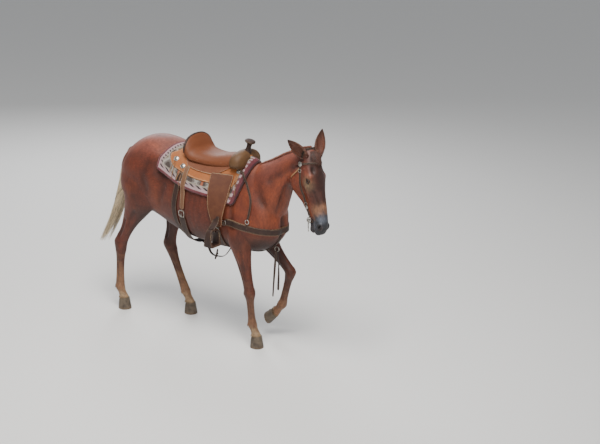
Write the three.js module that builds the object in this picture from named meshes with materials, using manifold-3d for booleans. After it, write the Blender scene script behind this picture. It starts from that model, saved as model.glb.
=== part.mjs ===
// A saddled riding mule, life size, walking: right fore and both hind feet down, left fore lifted.
// Millimetres, +Z up. The mule faces +X and its left side is +Y. The soles lie on z = 0.

import * as THREE from 'three';
import { mergeVertices } from 'three/addons/utils/BufferGeometryUtils.js';
import Module from 'manifold-3d';

const wasm = await Module();
wasm.setup();

// Driving sizes
const gap = 0.3; // clearance between pieces that touch
const backDrop = 62; // how far the back dips below the withers
const withersTop = 1496;
const croupTop = 1556;
const girthBottom = 750;
const barrelHalf = 272;
const chestHalf = 214;
const hipHalf = 252;
const headLength = 690;
const earLength = 212;
const earHalf = 44;
const earDepth = 0.75; // depth of the cup against its width
const earWall = 5;
const eyeRadius = 21;
const hoofHalf = 54;
const padThickness = 20;
const leather = 8; // thick saddle leather
const strapThickness = 6;
const sunk = 8; // how deep a strap is first laid in what lies below it, before that is cut away
const thinStrap = 4;

// Widths of the straps
const wide = {
  collar: 52,
  tug: 20,
  breast: 34,
  hanging: 18,
  latigo: 44,
  billet: 44,
  flank: 54,
  rearCinch: 70,
  slack: 24,
  looseEnd: 16,
  cheek: 20,
  crown: 22,
  brow: 16,
  throat: 14,
  curb: 14,
};

const degrees = Math.PI / 180;

// Colours
const colours = {
  coat: 0x8a3f22,
  legCoat: 0x9a6240,
  muzzle: 0x4a4442,
  hair: 0xb59a78,
  horn: 0xa39a8c,
  eye: 0x140d0a,
  saddle: 0x9c5a2c,
  darkLeather: 0x2e1d16,
  fork: 0x6b4a28,
  blanket: 0x8c7f76,
  wool: 0x6e3a40,
  steel: 0xb8b6b0,
};

const mule = new THREE.Group();

// Small helpers for points and numbers
const vec = (x, y, z) => new THREE.Vector3(x, y, z);
const mix = (a, b, t) => a + (b - a) * t;
const power = (value, exponent) => Math.sign(value) * Math.abs(value) ** exponent;

// Seeded random numbers, the same on each run
function makeRandom(seed) {
  let state = seed;
  return () => {
    state = (state * 1664525 + 1013904223) % 4294967296;
    return state / 4294967296;
  };
}

// Smooth cubic through four evenly spaced values
function cubic(p0, p1, p2, p3, t) {
  const a = 2 * p1;
  const b = p2 - p0;
  const c = 2 * p0 - 5 * p1 + 4 * p2 - p3;
  const d = 3 * p1 - p0 - 3 * p2 + p3;
  return 0.5 * (a + b * t + c * t * t + d * t * t * t);
}

// Rows of numbers made finer: each span between two rows is cut into some steps
function refine(rows, steps) {
  const fine = [];
  const last = rows.length - 1;
  for (let i = 0; i < last; i += 1) {
    for (let s = 0; s < steps; s += 1) {
      const before = rows[Math.max(i - 1, 0)];
      const after = rows[Math.min(i + 2, last)];
      fine.push(rows[i].map((value, k) => cubic(before[k], value, rows[i + 1][k], after[k], s / steps)));
    }
  }
  fine.push(rows[last]);
  return fine;
}

// Values of a table at one x, with slopes from the neighbours
function tableAt(rows, x) {
  const last = rows.length - 1;
  let i = 0;
  while (i < last - 1 && x > rows[i + 1][0]) i += 1;
  const [left, right] = [rows[i], rows[i + 1]];
  const span = right[0] - left[0];
  const t = Math.min(Math.max((x - left[0]) / span, 0), 1);
  const before = rows[Math.max(i - 1, 0)];
  const after = rows[Math.min(i + 2, last)];
  return left.map((value, k) => {
    const slopeLeft = i > 0 ? (right[k] - before[k]) / (right[0] - before[0]) : (right[k] - value) / span;
    const slopeRight = i < last - 1 ? (after[k] - value) / (after[0] - left[0]) : (right[k] - value) / span;
    const h = t * t * (3 - 2 * t);
    const rise = t * (1 - t) * (1 - t) * slopeLeft - t * t * (1 - t) * slopeRight;
    return mix(value, right[k], h) + span * rise;
  });
}

// A closed body through rings of points. Each end is closed by a strip across the ring.
function skinRings(rings) {
  const count = rings[0].length;
  const faces = [];
  const quad = (a, b, c, d) => faces.push(a, b, c, a, c, d);
  for (let r = 0; r + 1 < rings.length; r += 1) {
    for (let i = 0; i < count; i += 1) {
      const j = (i + 1) % count;
      quad(r * count + i, r * count + j, (r + 1) * count + j, (r + 1) * count + i);
    }
  }
  const end = (rings.length - 1) * count;
  for (let i = 0; i + 1 < count / 2; i += 1) {
    const far = count - 1 - i;
    const inner = far - 1;
    if (inner === i + 1) {
      faces.push(i, far, i + 1);
      faces.push(end + i, end + i + 1, end + far);
    } else {
      quad(i, far, inner, i + 1);
      quad(end + i, end + i + 1, end + inner, end + far);
    }
  }
  return solidFrom(rings.flat(), faces);
}

function signedVolume(points, faces) {
  let sum = 0;
  for (let i = 0; i < faces.length; i += 3) {
    const [a, b, c] = [points[faces[i]], points[faces[i + 1]], points[faces[i + 2]]];
    sum += a.dot(b.clone().cross(c)) / 6;
  }
  return sum;
}

// Points and triangles made a solid, faces turned outwards
function solidFrom(points, faces) {
  const turned = signedVolume(points, faces) < 0;
  const triVerts = new Uint32Array(faces);
  if (turned) {
    for (let i = 0; i < triVerts.length; i += 3) {
      [triVerts[i + 1], triVerts[i + 2]] = [triVerts[i + 2], triVerts[i + 1]];
    }
  }
  const vertProperties = new Float32Array(points.flatMap((p) => [p.x, p.y, p.z]));
  return new wasm.Manifold(new wasm.Mesh({ numProp: 3, vertProperties, triVerts }));
}

// A three.js geometry made a solid
function solidOf(geometry) {
  const bare = geometry.clone();
  bare.deleteAttribute('normal');
  bare.deleteAttribute('uv');
  const merged = mergeVertices(bare, 1e-3);
  const position = merged.attributes.position;
  const points = [];
  for (let i = 0; i < position.count; i += 1) points.push(vec().fromBufferAttribute(position, i));
  return solidFrom(points, Array.from(merged.index.array));
}

const union = (solids) => solids.reduce((sum, solid) => sum.add(solid));

// The largest closed surface of a solid, without loose scraps and sealed hollows
function largest(solid) {
  const pieces = solid.decompose();
  return pieces.reduce((best, piece) => (piece.volume() > best.volume() ? piece : best));
}

// Adds a solid to the mule as one named mesh
function addNode(name, solid, color, roughness = 0.7, metalness = 0) {
  const { vertProperties, triVerts, numProp } = largest(solid).getMesh();
  const position = new Float32Array((vertProperties.length / numProp) * 3);
  for (let i = 0; i < position.length / 3; i += 1) {
    position.set(vertProperties.subarray(i * numProp, i * numProp + 3), i * 3);
  }
  const geometry = new THREE.BufferGeometry();
  geometry.setAttribute('position', new THREE.BufferAttribute(position, 3));
  geometry.setIndex(Array.from(triVerts));
  geometry.computeVertexNormals();
  const material = new THREE.MeshStandardMaterial({ color, roughness, metalness });
  const mesh = new THREE.Mesh(geometry, material);
  mesh.name = name;
  mule.add(mesh);
}

// One point of an egg-shaped ring. The angle is measured from the upper end,
// positive towards the mule's left. squareUp and squareDown are 2 for an ellipse.
function ringPoint(ring, angle, grow = 0) {
  const { centre, up, down, side, squareUp, squareDown } = ring;
  const cosine = Math.cos(angle);
  const half = cosine >= 0 ? up : down;
  const exponent = 2 / (cosine >= 0 ? squareUp : squareDown);
  const height = Math.abs(cosine) ** exponent;
  const width = power(Math.sin(angle), exponent);
  const stretch = (axis) => (axis.length() + grow) / axis.length();
  return centre.clone()
    .addScaledVector(half, height * stretch(half))
    .addScaledVector(side, width * stretch(side));
}

function ringPoints(ring, sides, grow) {
  const points = [];
  for (let i = 0; i < sides; i += 1) points.push(ringPoint(ring, ((i + 0.5) * 2 * Math.PI) / sides, grow));
  return points;
}

// A ring spanned between an upper (or front) and a lower (or rear) outline point in the side view
function outlineRing(upper, lower, y, half, widest = 0.5, squareUp = 2, squareDown = 2) {
  const top = vec(upper[0], y, upper[1]);
  const bottom = vec(lower[0], y, lower[1]);
  const centre = bottom.clone().lerp(top, widest);
  return {
    centre,
    up: top.sub(centre),
    down: bottom.clone().sub(centre),
    side: vec(0, half, 0),
    squareUp,
    squareDown,
  };
}

// Torso: x, top, widest level, bottom, half width, squareness above and below
const torsoTable = [
  [-814, 1292, 1240, 1190, 62, 2, 2],
  [-796, 1352, 1240, 1120, 128, 2, 2],
  [-730, 1430, 1250, 1010, 196, 2, 2],
  [-630, 1506, 1262, 930, 238, 1.9, 2],
  [-510, croupTop - 8, 1262, 890, hipHalf, 1.9, 2],
  [-390, croupTop - 2, 1230, 850, hipHalf, 1.9, 2],
  [-260, 1536, 1160, 806, 248, 1.9, 2.1],
  [-130, 1490, 1120, 778, 264, 1.8, 2.2],
  [0, withersTop - backDrop + 14, 1090, 760, barrelHalf, 1.8, 2.2],
  [140, withersTop - backDrop + 4, 1080, 752, 266, 1.7, 2.1],
  [270, 1468, 1065, girthBottom, 242, 1.5, 2],
  [370, withersTop, 1050, girthBottom, 224, 1.35, 2],
  [470, 1490, 1040, 754, chestHalf, 1.4, 2],
  [560, 1440, 1035, 768, 204, 1.6, 2],
  [640, 1350, 1030, 806, 186, 1.9, 2.1],
  [700, 1240, 1025, 856, 150, 2, 2.2],
  [734, 1150, 1015, 912, 100, 2, 2],
  [747, 1080, 1010, 955, 50, 2, 2],
];

function torsoRing(x) {
  const [, top, level, bottom, half, squareUp, squareDown] = tableAt(torsoTable, x);
  return {
    centre: vec(x, 0, level),
    up: vec(0, 0, top - level),
    down: vec(0, 0, bottom - level),
    side: vec(0, half, 0),
    squareUp,
    squareDown,
  };
}

// A point on the trunk, lifted off it by some height. The angle runs from the back down the left side.
function trunkPoint(x, angle, lift = 0) {
  const point = ringPoint(torsoRing(x), angle);
  const along = ringPoint(torsoRing(x + 4), angle).sub(point);
  const around = ringPoint(torsoRing(x), angle + 0.03).sub(point);
  const normal = along.cross(around).normalize();
  const out = point.clone().sub(vec(x, 0, tableAt(torsoTable, x)[2]));
  if (normal.dot(out) < 0) normal.negate();
  return { point: point.addScaledVector(normal, lift), normal };
}

function makeTorso(grow = 0) {
  const sides = 26;
  const rings = [];
  for (let i = 0; i + 1 < torsoTable.length; i += 1) {
    const [from, to] = [torsoTable[i][0], torsoTable[i + 1][0]];
    const steps = to - from > 110 ? 2 : 1;
    for (let s = 0; s < steps; s += 1) {
      rings.push(ringPoints(torsoRing(mix(from, to, s / steps)), sides, grow));
    }
  }
  rings.push(ringPoints(torsoRing(torsoTable.at(-1)[0]), sides, grow));
  return skinRings(rings);
}

// Neck: crest x, z, underline x, z, y, half width
const neckTable = [
  [440, 1430, 600, 1000, 0, 150],
  [545, 1480, 722, 1052, 0, 146],
  [650, 1530, 768, 1140, 3, 122],
  [750, 1588, 784, 1225, 7, 99],
  [842, 1632, 796, 1318, 10, 82],
  [915, 1660, 826, 1415, 12, 72],
  [975, 1652, 888, 1490, 12, 58],
];

function makeNeck(grow = 0) {
  const rings = refine(neckTable, 2).map(([cx, cz, ux, uz, y, half], i, rows) => {
    const ahead = (i === rows.length - 1) * grow;
    const [crest, throat] = [[cx + ahead, cz + ahead], [ux + ahead + grow, uz + ahead]];
    return ringPoints(outlineRing(crest, throat, y, half, 0.42, 1.6, 2.1), 18, grow);
  });
  return skinRings(rings);
}

// Head, in its own frame: u runs from the poll to the muzzle, v is towards the forehead, y is left
const headPlace = {
  poll: [1004, 20, 1646],
  pitch: 67,
  yaw: -20,
  tilt: -14,
  scale: [0.91, 0.95, 0.95],
};

function headMatrix() {
  const { poll, pitch, yaw, tilt, scale } = headPlace;
  const nod = new THREE.Matrix4().makeRotationY(pitch * degrees);
  const turn = new THREE.Matrix4().makeRotationZ(yaw * degrees);
  const lean = new THREE.Matrix4().makeRotationX(tilt * degrees);
  const size = new THREE.Matrix4().makeScale(...scale);
  const place = new THREE.Matrix4().makeTranslation(...poll);
  return place.multiply(turn).multiply(nod).multiply(lean).multiply(size);
}

const toHead = headMatrix();

// Face and skull: u, forehead line, lower line, half width, widest part, squareness
const faceTable = [
  [-48, -28, -128, 50, 0.5],
  [0, 2, -150, 66, 0.55],
  [70, 15, -165, 84, 0.6],
  [150, 18, -170, 96, 0.66],
  [215, 15, -170, 101, 0.7],
  [275, 11, -165, 90, 0.66],
  [345, 7, -160, 73, 0.6],
  [430, 4, -148, 58, 0.55],
  [520, -2, -138, 51, 0.5],
  [595, -14, -138, 52, 0.45],
  [645, -34, -142, 53, 0.42],
  [678, -62, -134, 44, 0.4],
  [headLength, -86, -122, 24, 0.5],
];

// Lower jaw: u, upper line, lower line, half width
const jawTable = [
  [55, -90, -190, 44],
  [110, -80, -262, 60],
  [180, -80, -298, 67],
  [255, -80, -292, 64],
  [335, -80, -252, 52],
  [420, -80, -208, 40],
  [510, -80, -178, 35],
  [575, -90, -174, 38],
  [625, -104, -180, 37],
  [656, -116, -168, 26],
];

function headLoft(table, steps, sides, grow, shape) {
  const fine = refine(table, steps);
  const rings = fine.map(([u, top, low, half, widest = shape.widest], i) => {
    const shift = i === 0 ? -grow : (i === fine.length - 1) * grow;
    const ends = [[u + shift, top], [u + shift, low]];
    return ringPoints(outlineRing(...ends, 0, half, widest, shape.square, shape.square), sides, grow);
  });
  return skinRings(rings).transform(toHead.elements);
}

const headPoint = (u, v, y) => vec(u, y, v).applyMatrix4(toHead);

// A ball in the head's frame, longer along some of its axes
function headBall([u, v, y], [halfU, halfV, halfY], nod = 0, sides = 10) {
  const ball = new THREE.SphereGeometry(1, sides, Math.max(6, sides - 2));
  ball.scale(halfU, halfY, halfV);
  ball.rotateY(nod * degrees);
  ball.translate(u, y, v);
  return solidOf(ball.applyMatrix4(toHead));
}

// Places on one side of the head: u, v, y for the right side with y negative
const eyePlace = [232, -50, 79];
const nostrilPlace = [624, -62, 44];

const onSide = (place, sign) => [place[0], place[1], place[2] * sign];

function makeHead(grow = 0) {
  const face = headLoft(faceTable, 1, 16, grow, { square: 2.1 });
  const jaw = headLoft(jawTable, 1, 14, grow, { widest: 0.5, square: 2.2 });
  const bosses = [-1, 1].flatMap((sign) => [
    headBall(onSide([204, -26, 76], sign), [50 + grow, 22 + grow, 24 + grow], 8, 8),
    headBall(onSide([196, -150, 44], sign), [142 + grow, 116 + grow, 37 + grow], -14, 10),
    headBall(onSide(eyePlace, sign), [31 + grow, 25 + grow, 26 + grow], 12, 10),
    headBall(onSide([622, -58, 40], sign), [36 + grow, 25 + grow, 17 + grow], 30, 8),
  ]);
  return union([face, jaw, ...bosses]);
}

// Openings of the head: eye slits, nostrils and the line of the mouth
function carveHead(solid) {
  const cuts = [-1, 1].flatMap((sign) => [
    headBall(onSide([eyePlace[0], eyePlace[1], eyePlace[2] + 26], sign), [20, 12, 20], 14, 8),
    headBall(onSide(eyePlace, sign), [eyeRadius + gap, eyeRadius + gap, eyeRadius + gap], 0, 8),
    headBall(onSide([nostrilPlace[0], nostrilPlace[1], nostrilPlace[2] + 16], sign), [21, 10, 22], 52, 8),
  ]);
  return solid.subtract(union(cuts)).subtract(makeMouthLine());
}

// Mouth: a thin curved plate through the lips, without their middle
const lipGap = 1.6;

function makeMouthLine() {
  const rows = [[548, -128], [590, -133], [630, -130], [670, -118], [720, -100]];
  const plate = skinRings(rows.map(([u, v]) => [
    headPoint(u, v + lipGap, 80),
    headPoint(u, v + lipGap, -80),
    headPoint(u, v - lipGap, -80),
    headPoint(u, v - lipGap, 80),
  ]));
  return plate.subtract(headBall([560, -120, 0], [104, 60, 32]));
}

const makeEye = (sign) => headBall(onSide(eyePlace, sign), [eyeRadius, eyeRadius, eyeRadius], 0, 8);

// Legs. A leg is a chain of joints [x, y, z] with sections set along its bones:
// bone, place along it, reach in front, reach behind, half width.
const foreSections = [
  [0, -0.3, 105, 105, 74],
  [0, 0, 96, 102, 78],
  [0, 0.22, 84, 84, 66],
  [0, 0.45, 60, 62, 53],
  [0, 0.7, 45, 47, 43],
  [0, 0.9, 42, 43, 41],
  [1, 0.02, 45, 50, 45],
  [1, 0.14, 39, 42, 39],
  [1, 0.28, 29, 38, 28],
  [1, 0.52, 26, 35, 26],
  [1, 0.78, 27, 36, 27],
  [1, 0.93, 32, 40, 33],
  [2, 0.06, 35, 43, 36],
  [2, 0.45, 28, 34, 30],
  [2, 0.85, 33, 38, 36],
  [2, 1.15, 34, 38, 38],
];

const hindSections = [
  [0, -0.25, 150, 165, 88],
  [0, 0.2, 165, 205, 104],
  [0, 0.6, 172, 198, 106],
  [1, 0.0, 150, 162, 92],
  [1, 0.22, 108, 120, 70],
  [1, 0.45, 70, 86, 52],
  [1, 0.68, 47, 66, 40],
  [1, 0.86, 44, 72, 37],
  [1, 0.98, 52, 70, 43],
  [2, 0.1, 50, 54, 42],
  [2, 0.24, 39, 46, 34],
  [2, 0.45, 32, 42, 29],
  [2, 0.72, 32, 42, 29],
  [2, 0.92, 36, 44, 35],
  [3, 0.06, 38, 46, 38],
  [3, 0.45, 30, 36, 31],
  [3, 0.85, 34, 40, 37],
  [3, 1.15, 35, 40, 38],
];

const legs = {
  leg_front_right: {
    sections: foreSections,
    joints: [[440, -140, 880], [558, -142, 445], [592, -138, 188], [636, -136, 92]],
    toe: [694, -136, 0],
    heel: [592, -136, 0],
  },
  leg_front_left: {
    sections: foreSections,
    joints: [[450, 140, 880], [752, 146, 590], [690, 142, 300], [622, 140, 214]],
    toe: [574, 138, 106],
    heel: [536, 138, 200],
  },
  leg_hind_right: {
    sections: hindSections,
    joints: [[-570, -132, 1250], [-578, -146, 1000], [-788, -142, 560], [-797, -138, 186], [-752, -136, 92]],
    toe: [-692, -136, 0],
    heel: [-794, -136, 0],
  },
  leg_hind_left: {
    sections: hindSections,
    joints: [[-530, 132, 1250], [-415, 144, 1000], [-478, 138, 555], [-300, 134, 186], [-246, 132, 92]],
    toe: [-188, 132, 0],
    heel: [-290, 132, 0],
  },
};

// Rings square to each bone, turned halfway near a joint
function legRings({ sections, joints }, grow) {
  const places = joints.map((joint) => vec(...joint));
  const bones = places.slice(1).map((place, i) => place.clone().sub(places[i]));
  const rows = sections.map(([bone, t, front, rear, half]) => {
    const near = t > 0.5 ? Math.min(bone + 1, bones.length - 1) : Math.max(bone - 1, 0);
    const share = Math.max(0, Math.abs(t - 0.5) * 2 - 0.6) / 0.8;
    const along = bones[bone].clone().normalize().lerp(bones[near].clone().normalize(), share).normalize();
    const centre = places[bone].clone().addScaledVector(bones[bone], t);
    const forward = along.cross(vec(0, 1, 0)).normalize();
    const up = forward.clone().multiplyScalar(front);
    const down = forward.clone().multiplyScalar(-rear);
    return [...centre.toArray(), ...up.toArray(), ...down.toArray(), half];
  });
  return rows.map((row) => ringPoints({
    centre: vec(...row.slice(0, 3)),
    up: vec(...row.slice(3, 6)),
    down: vec(...row.slice(6, 9)),
    side: vec(0, row[9], 0),
    squareUp: 2,
    squareDown: 2,
  }, 14, grow));
}

const makeLeg = (leg, grow = 0) => skinRings(legRings(leg, grow));

// A hoof: level rings from the sole up to the coronet, leaning with the pastern
function makeHoof({ joints, toe, heel }, grow = 0) {
  const sole = vec(...toe).lerp(vec(...heel), 0.5);
  const forward = vec(...toe).sub(vec(...heel)).multiplyScalar(0.5);
  const top = vec(...joints.at(-1)).addScaledVector(forward, -0.04);
  const rows = [
    [0, 1, 1],
    [0.12, 1, 1],
    [0.6, 0.9, 0.9],
    [1, 0.8, 0.82],
  ];
  const rings = rows.map(([t, length, width], i) => {
    const centre = sole.clone().lerp(top, t);
    const lift = i === 0 ? -grow : grow;
    const up = forward.clone().multiplyScalar(length);
    const tiltDown = forward.clone().multiplyScalar(-length);
    const axis = top.clone().sub(sole).normalize();
    up.addScaledVector(axis, t * 8);
    tiltDown.addScaledVector(axis, -t * 10);
    centre.addScaledVector(axis, lift);
    return ringPoints({
      centre,
      up,
      down: tiltDown,
      side: vec(0, hoofHalf * width, 0),
      squareUp: 2.1,
      squareDown: 2.6,
    }, 16, grow);
  });
  return skinRings(rings);
}

// A lock of hair: flat, tapered and bent along its route, widest a third of the way down
const lockShape = [0.55, 0.95, 1, 0.86, 0.62, 0.05];

function lock(route, width, thick) {
  const rings = route.map(({ point, out }, i) => {
    const before = route[Math.max(i - 1, 0)].point;
    const after = route[Math.min(i + 1, route.length - 1)].point;
    const along = after.clone().sub(before).normalize();
    const across = along.clone().cross(out).normalize();
    const normal = across.clone().cross(along).normalize();
    const size = lockShape[Math.round((i / (route.length - 1)) * (lockShape.length - 1))];
    return [
      point.clone().addScaledVector(across, width * size * 0.5),
      point.clone().addScaledVector(normal, thick * size * 0.5),
      point.clone().addScaledVector(across, -width * size * 0.5),
      point.clone().addScaledVector(normal, -thick * size * 0.5),
    ];
  });
  return skinRings(rings);
}

// Tail: a core from the dock that ends half way down, and locks that leave it at many levels
const tailRoot = [-792, 0, 1372];
const tailRoute = refine([
  [-760, 0, 1392],
  tailRoot,
  [-846, -2, 1240],
  [-866, -6, 1070],
  [-908, -16, 880],
  [-975, -28, 700],
  [-1080, -40, 500],
], 4);
const tailHalf = [26, 30, 36, 38, 10]; // half widths of the core

function tailAt(t) {
  const place = Math.min(Math.max(t, 0), 1) * (tailRoute.length - 1);
  const i = Math.min(Math.floor(place), tailRoute.length - 2);
  return vec(...tailRoute[i]).lerp(vec(...tailRoute[i + 1]), place - i);
}

function makeTailCore() {
  const rings = refine(tailHalf.map((half, i) => [i / 6.6, half]), 2).map(([t, half]) => {
    const centre = tailAt(t);
    return ringPoints({
      centre,
      up: vec(half, 0, 0),
      down: vec(-half, 0, 0),
      side: vec(0, half, 0),
      squareUp: 2,
      squareDown: 2,
    }, 8, 0);
  });
  return skinRings(rings);
}

// Tail locks: turn round the core, where they leave it, where they end, how far they spread
function makeTailLocks() {
  const random = makeRandom(7);
  const locks = [];
  const count = 18;
  for (let k = 0; k < count; k += 1) {
    const turn = k * 137.5 * degrees;
    const start = mix(0.12, 0.5, k / count);
    const end = mix(0.72, 1, (random() + k / count) / 2);
    const spread = mix(20, 46, random());
    const bend = mix(-10, 10, random());
    const route = lockShape.map((_, i) => {
      const along = i / (lockShape.length - 1);
      const t = mix(start, end, along);
      const reach = 10 + spread * Math.sin(along * 2.2);
      const side = vec(-Math.cos(turn), Math.sin(turn), 0);
      const point = tailAt(t).addScaledVector(side, reach);
      point.y += bend * Math.sin(along * 4);
      return { point, out: side };
    });
    locks.push(lock(route, mix(40, 56, random()), 15));
  }
  return union(locks);
}

// Forelock: locks that fall between the ears: turn at the root, turn and reach at the tip
const forelock = [[-16, -30, 112], [-8, -14, 150], [1, -2, 132], [9, 10, 158], [16, 24, 120]];

// Mane: clipped short, in clumps that stand up along the crest between two places on it
const maneClumps = 13;
const maneHeight = 24;

// Ears: a rolled leaf, open along its front. The root is a place on the head [u, v, y];
// the leaf points along lean and its cup faces open, both in the mule's frame.
const ears = {
  ear_right: { root: [34, -46, -58], lean: [-104, -122, 150], open: [0.5, -0.75, -0.3] },
  ear_left: { root: [34, -16, 58], lean: [-4, 48, 222], open: [0.8, -0.55, 0] },
};

// Rows of an ear: place along it, width, angle that the wall wraps
const earTable = [
  [-0.12, 0.5, 300],
  [0, 0.64, 300],
  [0.14, 0.84, 262],
  [0.32, 1, 214],
  [0.52, 0.98, 186],
  [0.7, 0.78, 170],
  [0.87, 0.44, 160],
  [1, 0.06, 150],
];

function makeEar({ root, lean, open }, grow = 0) {
  const foot = vec(root[0], root[2], root[1]).applyMatrix4(toHead);
  const axis = vec(...lean).normalize();
  const front = vec(...open);
  front.addScaledVector(axis, -front.dot(axis)).normalize();
  const side = axis.clone().cross(front);
  const steps = 7;
  const rings = earTable.map(([t, width, wrap]) => {
    const half = earHalf * width;
    const centre = foot.clone().addScaledVector(axis, t * earLength);
    const arc = (radius, sign) => Array.from({ length: steps + 1 }, (_, i) => {
      const turn = sign * (wrap / 2 + grow * 2.5) * mix(-1, 1, i / steps) * degrees;
      return centre.clone()
        .addScaledVector(side, Math.sin(turn) * radius)
        .addScaledVector(front, -Math.cos(turn) * radius * earDepth);
    });
    return [...arc(half + grow, 1), ...arc(Math.max(half - earWall, half * 0.6) - grow, -1)];
  });
  return skinRings(rings);
}

// Rays cast on a solid, to lay straps on its surface
function makeSurface(solid) {
  const { vertProperties, triVerts } = solid.getMesh();
  const geometry = new THREE.BufferGeometry();
  geometry.setAttribute('position', new THREE.BufferAttribute(new Float32Array(vertProperties), 3));
  geometry.setIndex(Array.from(triVerts));
  const mesh = new THREE.Mesh(geometry, new THREE.MeshBasicMaterial({ side: THREE.DoubleSide }));
  mesh.updateMatrixWorld();
  return mesh;
}

// The first point met on the way from outside to inside, with the way out
function castOn(surface, outside, inside) {
  const out = outside.clone().sub(inside).normalize();
  const ray = new THREE.Raycaster(outside, out.clone().negate());
  const [hit] = ray.intersectObject(surface);
  return { point: hit ? hit.point.clone() : inside.clone(), out };
}

// A flat strap along a route of points, each with its way out
function ribbon(route, width, thick, lift = 1) {
  const rings = route.map(({ point, out }, i) => {
    const before = route[Math.max(i - 1, 0)].point;
    const after = route[Math.min(i + 1, route.length - 1)].point;
    const along = after.clone().sub(before).normalize();
    const across = along.clone().cross(out).normalize();
    const normal = across.clone().cross(along).normalize();
    const corner = (side, height) => point.clone()
      .addScaledVector(across, (side * width) / 2)
      .addScaledVector(normal, height);
    return [corner(1, lift + thick), corner(-1, lift + thick), corner(-1, lift), corner(1, lift)];
  });
  return skinRings(rings);
}

// A sheet laid over the back between two edges that are functions of the angle in degrees
function drape({ from, to, rear, front, lift, thick, steps = 16, across = 8, rise = () => 0 }) {
  const rings = Array.from({ length: steps + 1 }, (_, i) => {
    const angle = mix(from, to, i / steps);
    const places = Array.from({ length: across + 1 }, (__, k) => mix(rear(angle), front(angle), k / across));
    const outer = places.map((x) => trunkPoint(x, angle * degrees, lift + thick + rise(x, angle)).point);
    const inner = places.map((x) => trunkPoint(x, angle * degrees, lift).point);
    return [...outer, ...inner.reverse()];
  });
  return skinRings(rings);
}

// A strap round the trunk through places [x, angle]
function trunkStrap(places, width, thick, { lift = 1.5, steps = 3 } = {}) {
  const route = refine(places, steps).map(([x, angle, extra = 0]) => {
    const { point, normal } = trunkPoint(x, angle * degrees, lift + extra);
    return { point, out: normal };
  });
  return ribbon(route, width, thick, 0);
}

// A ring of round wire at a place, facing some way
function wireRing(place, facing, radius, wire, sides = 16) {
  const torus = new THREE.TorusGeometry(radius, wire, 5, sides);
  torus.lookAt(vec(...facing));
  torus.translate(...place);
  return solidOf(torus);
}

// Pad: a thick woven wool pad, its rear corners swept back
const pad = {
  from: -68,
  to: 68,
  rear: (angle) => mix(-190, -336, Math.min(1, Math.abs(angle) / 52) ** 0.8),
  front: (angle) => mix(508, 418, (Math.abs(angle) / 68) ** 1.4),
  lift: 3,
  thick: padThickness - 1,
};

// Skirts: the leather under the seat, in one piece over the back
const skirtLift = padThickness + 3;
const skirt = {
  from: -51,
  to: 51,
  rear: (angle) => {
    const swept = mix(-140, -240, Math.min(1, Math.abs(angle) / 38) ** 2);
    return swept + 40 * (Math.max(0, Math.abs(angle) - 38) / 13) ** 2;
  },
  front: (angle) => 430 - 46 * (Math.abs(angle) / 51) ** 2,
  lift: skirtLift - sunk,
  thick: leather + sunk,
  steps: 12,
  across: 7,
};

// Seat: rings across the saddle from the cantle to the fork: x, top, lower edge, half width
const seatTable = [
  [-124, 1556, 1490, 118],
  [-116, 1606, 1440, 166],
  [-96, 1616, 1424, 180],
  [-74, 1580, 1410, 182],
  [-44, 1532, 1404, 180],
  [10, 1514, 1398, 170],
  [90, 1508, 1388, 156],
  [180, 1512, 1388, 142],
  [262, 1522, 1396, 128],
  [300, 1528, 1408, 118],
];

const forkTable = [
  [306, 1504, 1430, 104],
  [318, 1540, 1416, 142],
  [345, 1560, 1410, 164],
  [385, 1564, 1412, 166],
  [415, 1550, 1420, 150],
  [432, 1520, 1436, 112],
];

function saddleLoft(table, square, steps) {
  const rings = refine(table, steps).map(([x, top, low, half]) => (
    ringPoints(outlineRing([x, top], [x, low], 0, half, 0.35, square, square), 16, 0)
  ));
  return skinRings(rings);
}

// Horn: a leaning neck under a round flat cap
const hornPlace = [392, 0, 1546];

function makeHorn() {
  const stem = [[0, 0], [34, 0], [24, 18], [19, 44], [22, 76]];
  const cap = [[38, 84], [43, 90], [42, 98], [30, 103], [0, 104]];
  const outline = [...stem, ...cap];
  const horn = new THREE.LatheGeometry(outline.map(([r, h]) => new THREE.Vector2(r, h)), 12);
  horn.rotateX(90 * degrees);
  horn.rotateY(14 * degrees);
  horn.translate(...hornPlace);
  return solidOf(horn);
}

// Fenders: broad leather plates that hang over the barrel
const fender = {
  from: 38,
  to: 104,
  rear: (angle) => mix(170, 262, (angle - 38) / 66),
  front: (angle) => mix(372, 346, (angle - 38) / 66),
  lift: skirtLift + leather + 4,
  thick: leather,
  steps: 6,
  across: 3,
};

const mirrorX = (shape) => ({
  ...shape,
  from: -shape.from,
  to: -shape.to,
  rear: (angle) => shape.rear(-angle),
  front: (angle) => shape.front(-angle),
});

// Stirrup: a bent frame with a broad tread, hung so that the foot goes in along X
const stirrup = { x: 310, y: 324, top: 970, half: 66, height: 150, width: 84, thick: 13 };

function makeStirrup(sign) {
  const { x, y, top, half, height, width, thick } = stirrup;
  const outline = new THREE.Shape();
  const bow = new THREE.Path();
  outline.moveTo(-half * 0.5, 0);
  outline.bezierCurveTo(-half, -10, -half, -height * 0.6, -half * 0.86, -height);
  outline.lineTo(half * 0.86, -height);
  outline.bezierCurveTo(half, -height * 0.6, half, -10, half * 0.5, 0);
  outline.closePath();
  const inner = half - thick;
  bow.moveTo(-inner * 0.5, -thick);
  bow.bezierCurveTo(-inner, -thick - 8, -inner, -height * 0.6, -inner * 0.86, -height + thick);
  bow.lineTo(inner * 0.86, -height + thick);
  bow.bezierCurveTo(inner, -height * 0.6, inner, -thick - 8, inner * 0.5, -thick);
  outline.holes.push(bow);
  const frame = new THREE.ExtrudeGeometry(outline, { depth: width, bevelEnabled: false, curveSegments: 6 });
  frame.translate(0, 0, -width / 2);
  frame.rotateX(90 * degrees);
  frame.rotateZ(90 * degrees);
  frame.translate(x, sign * y, top);
  return solidOf(frame);
}

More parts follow.
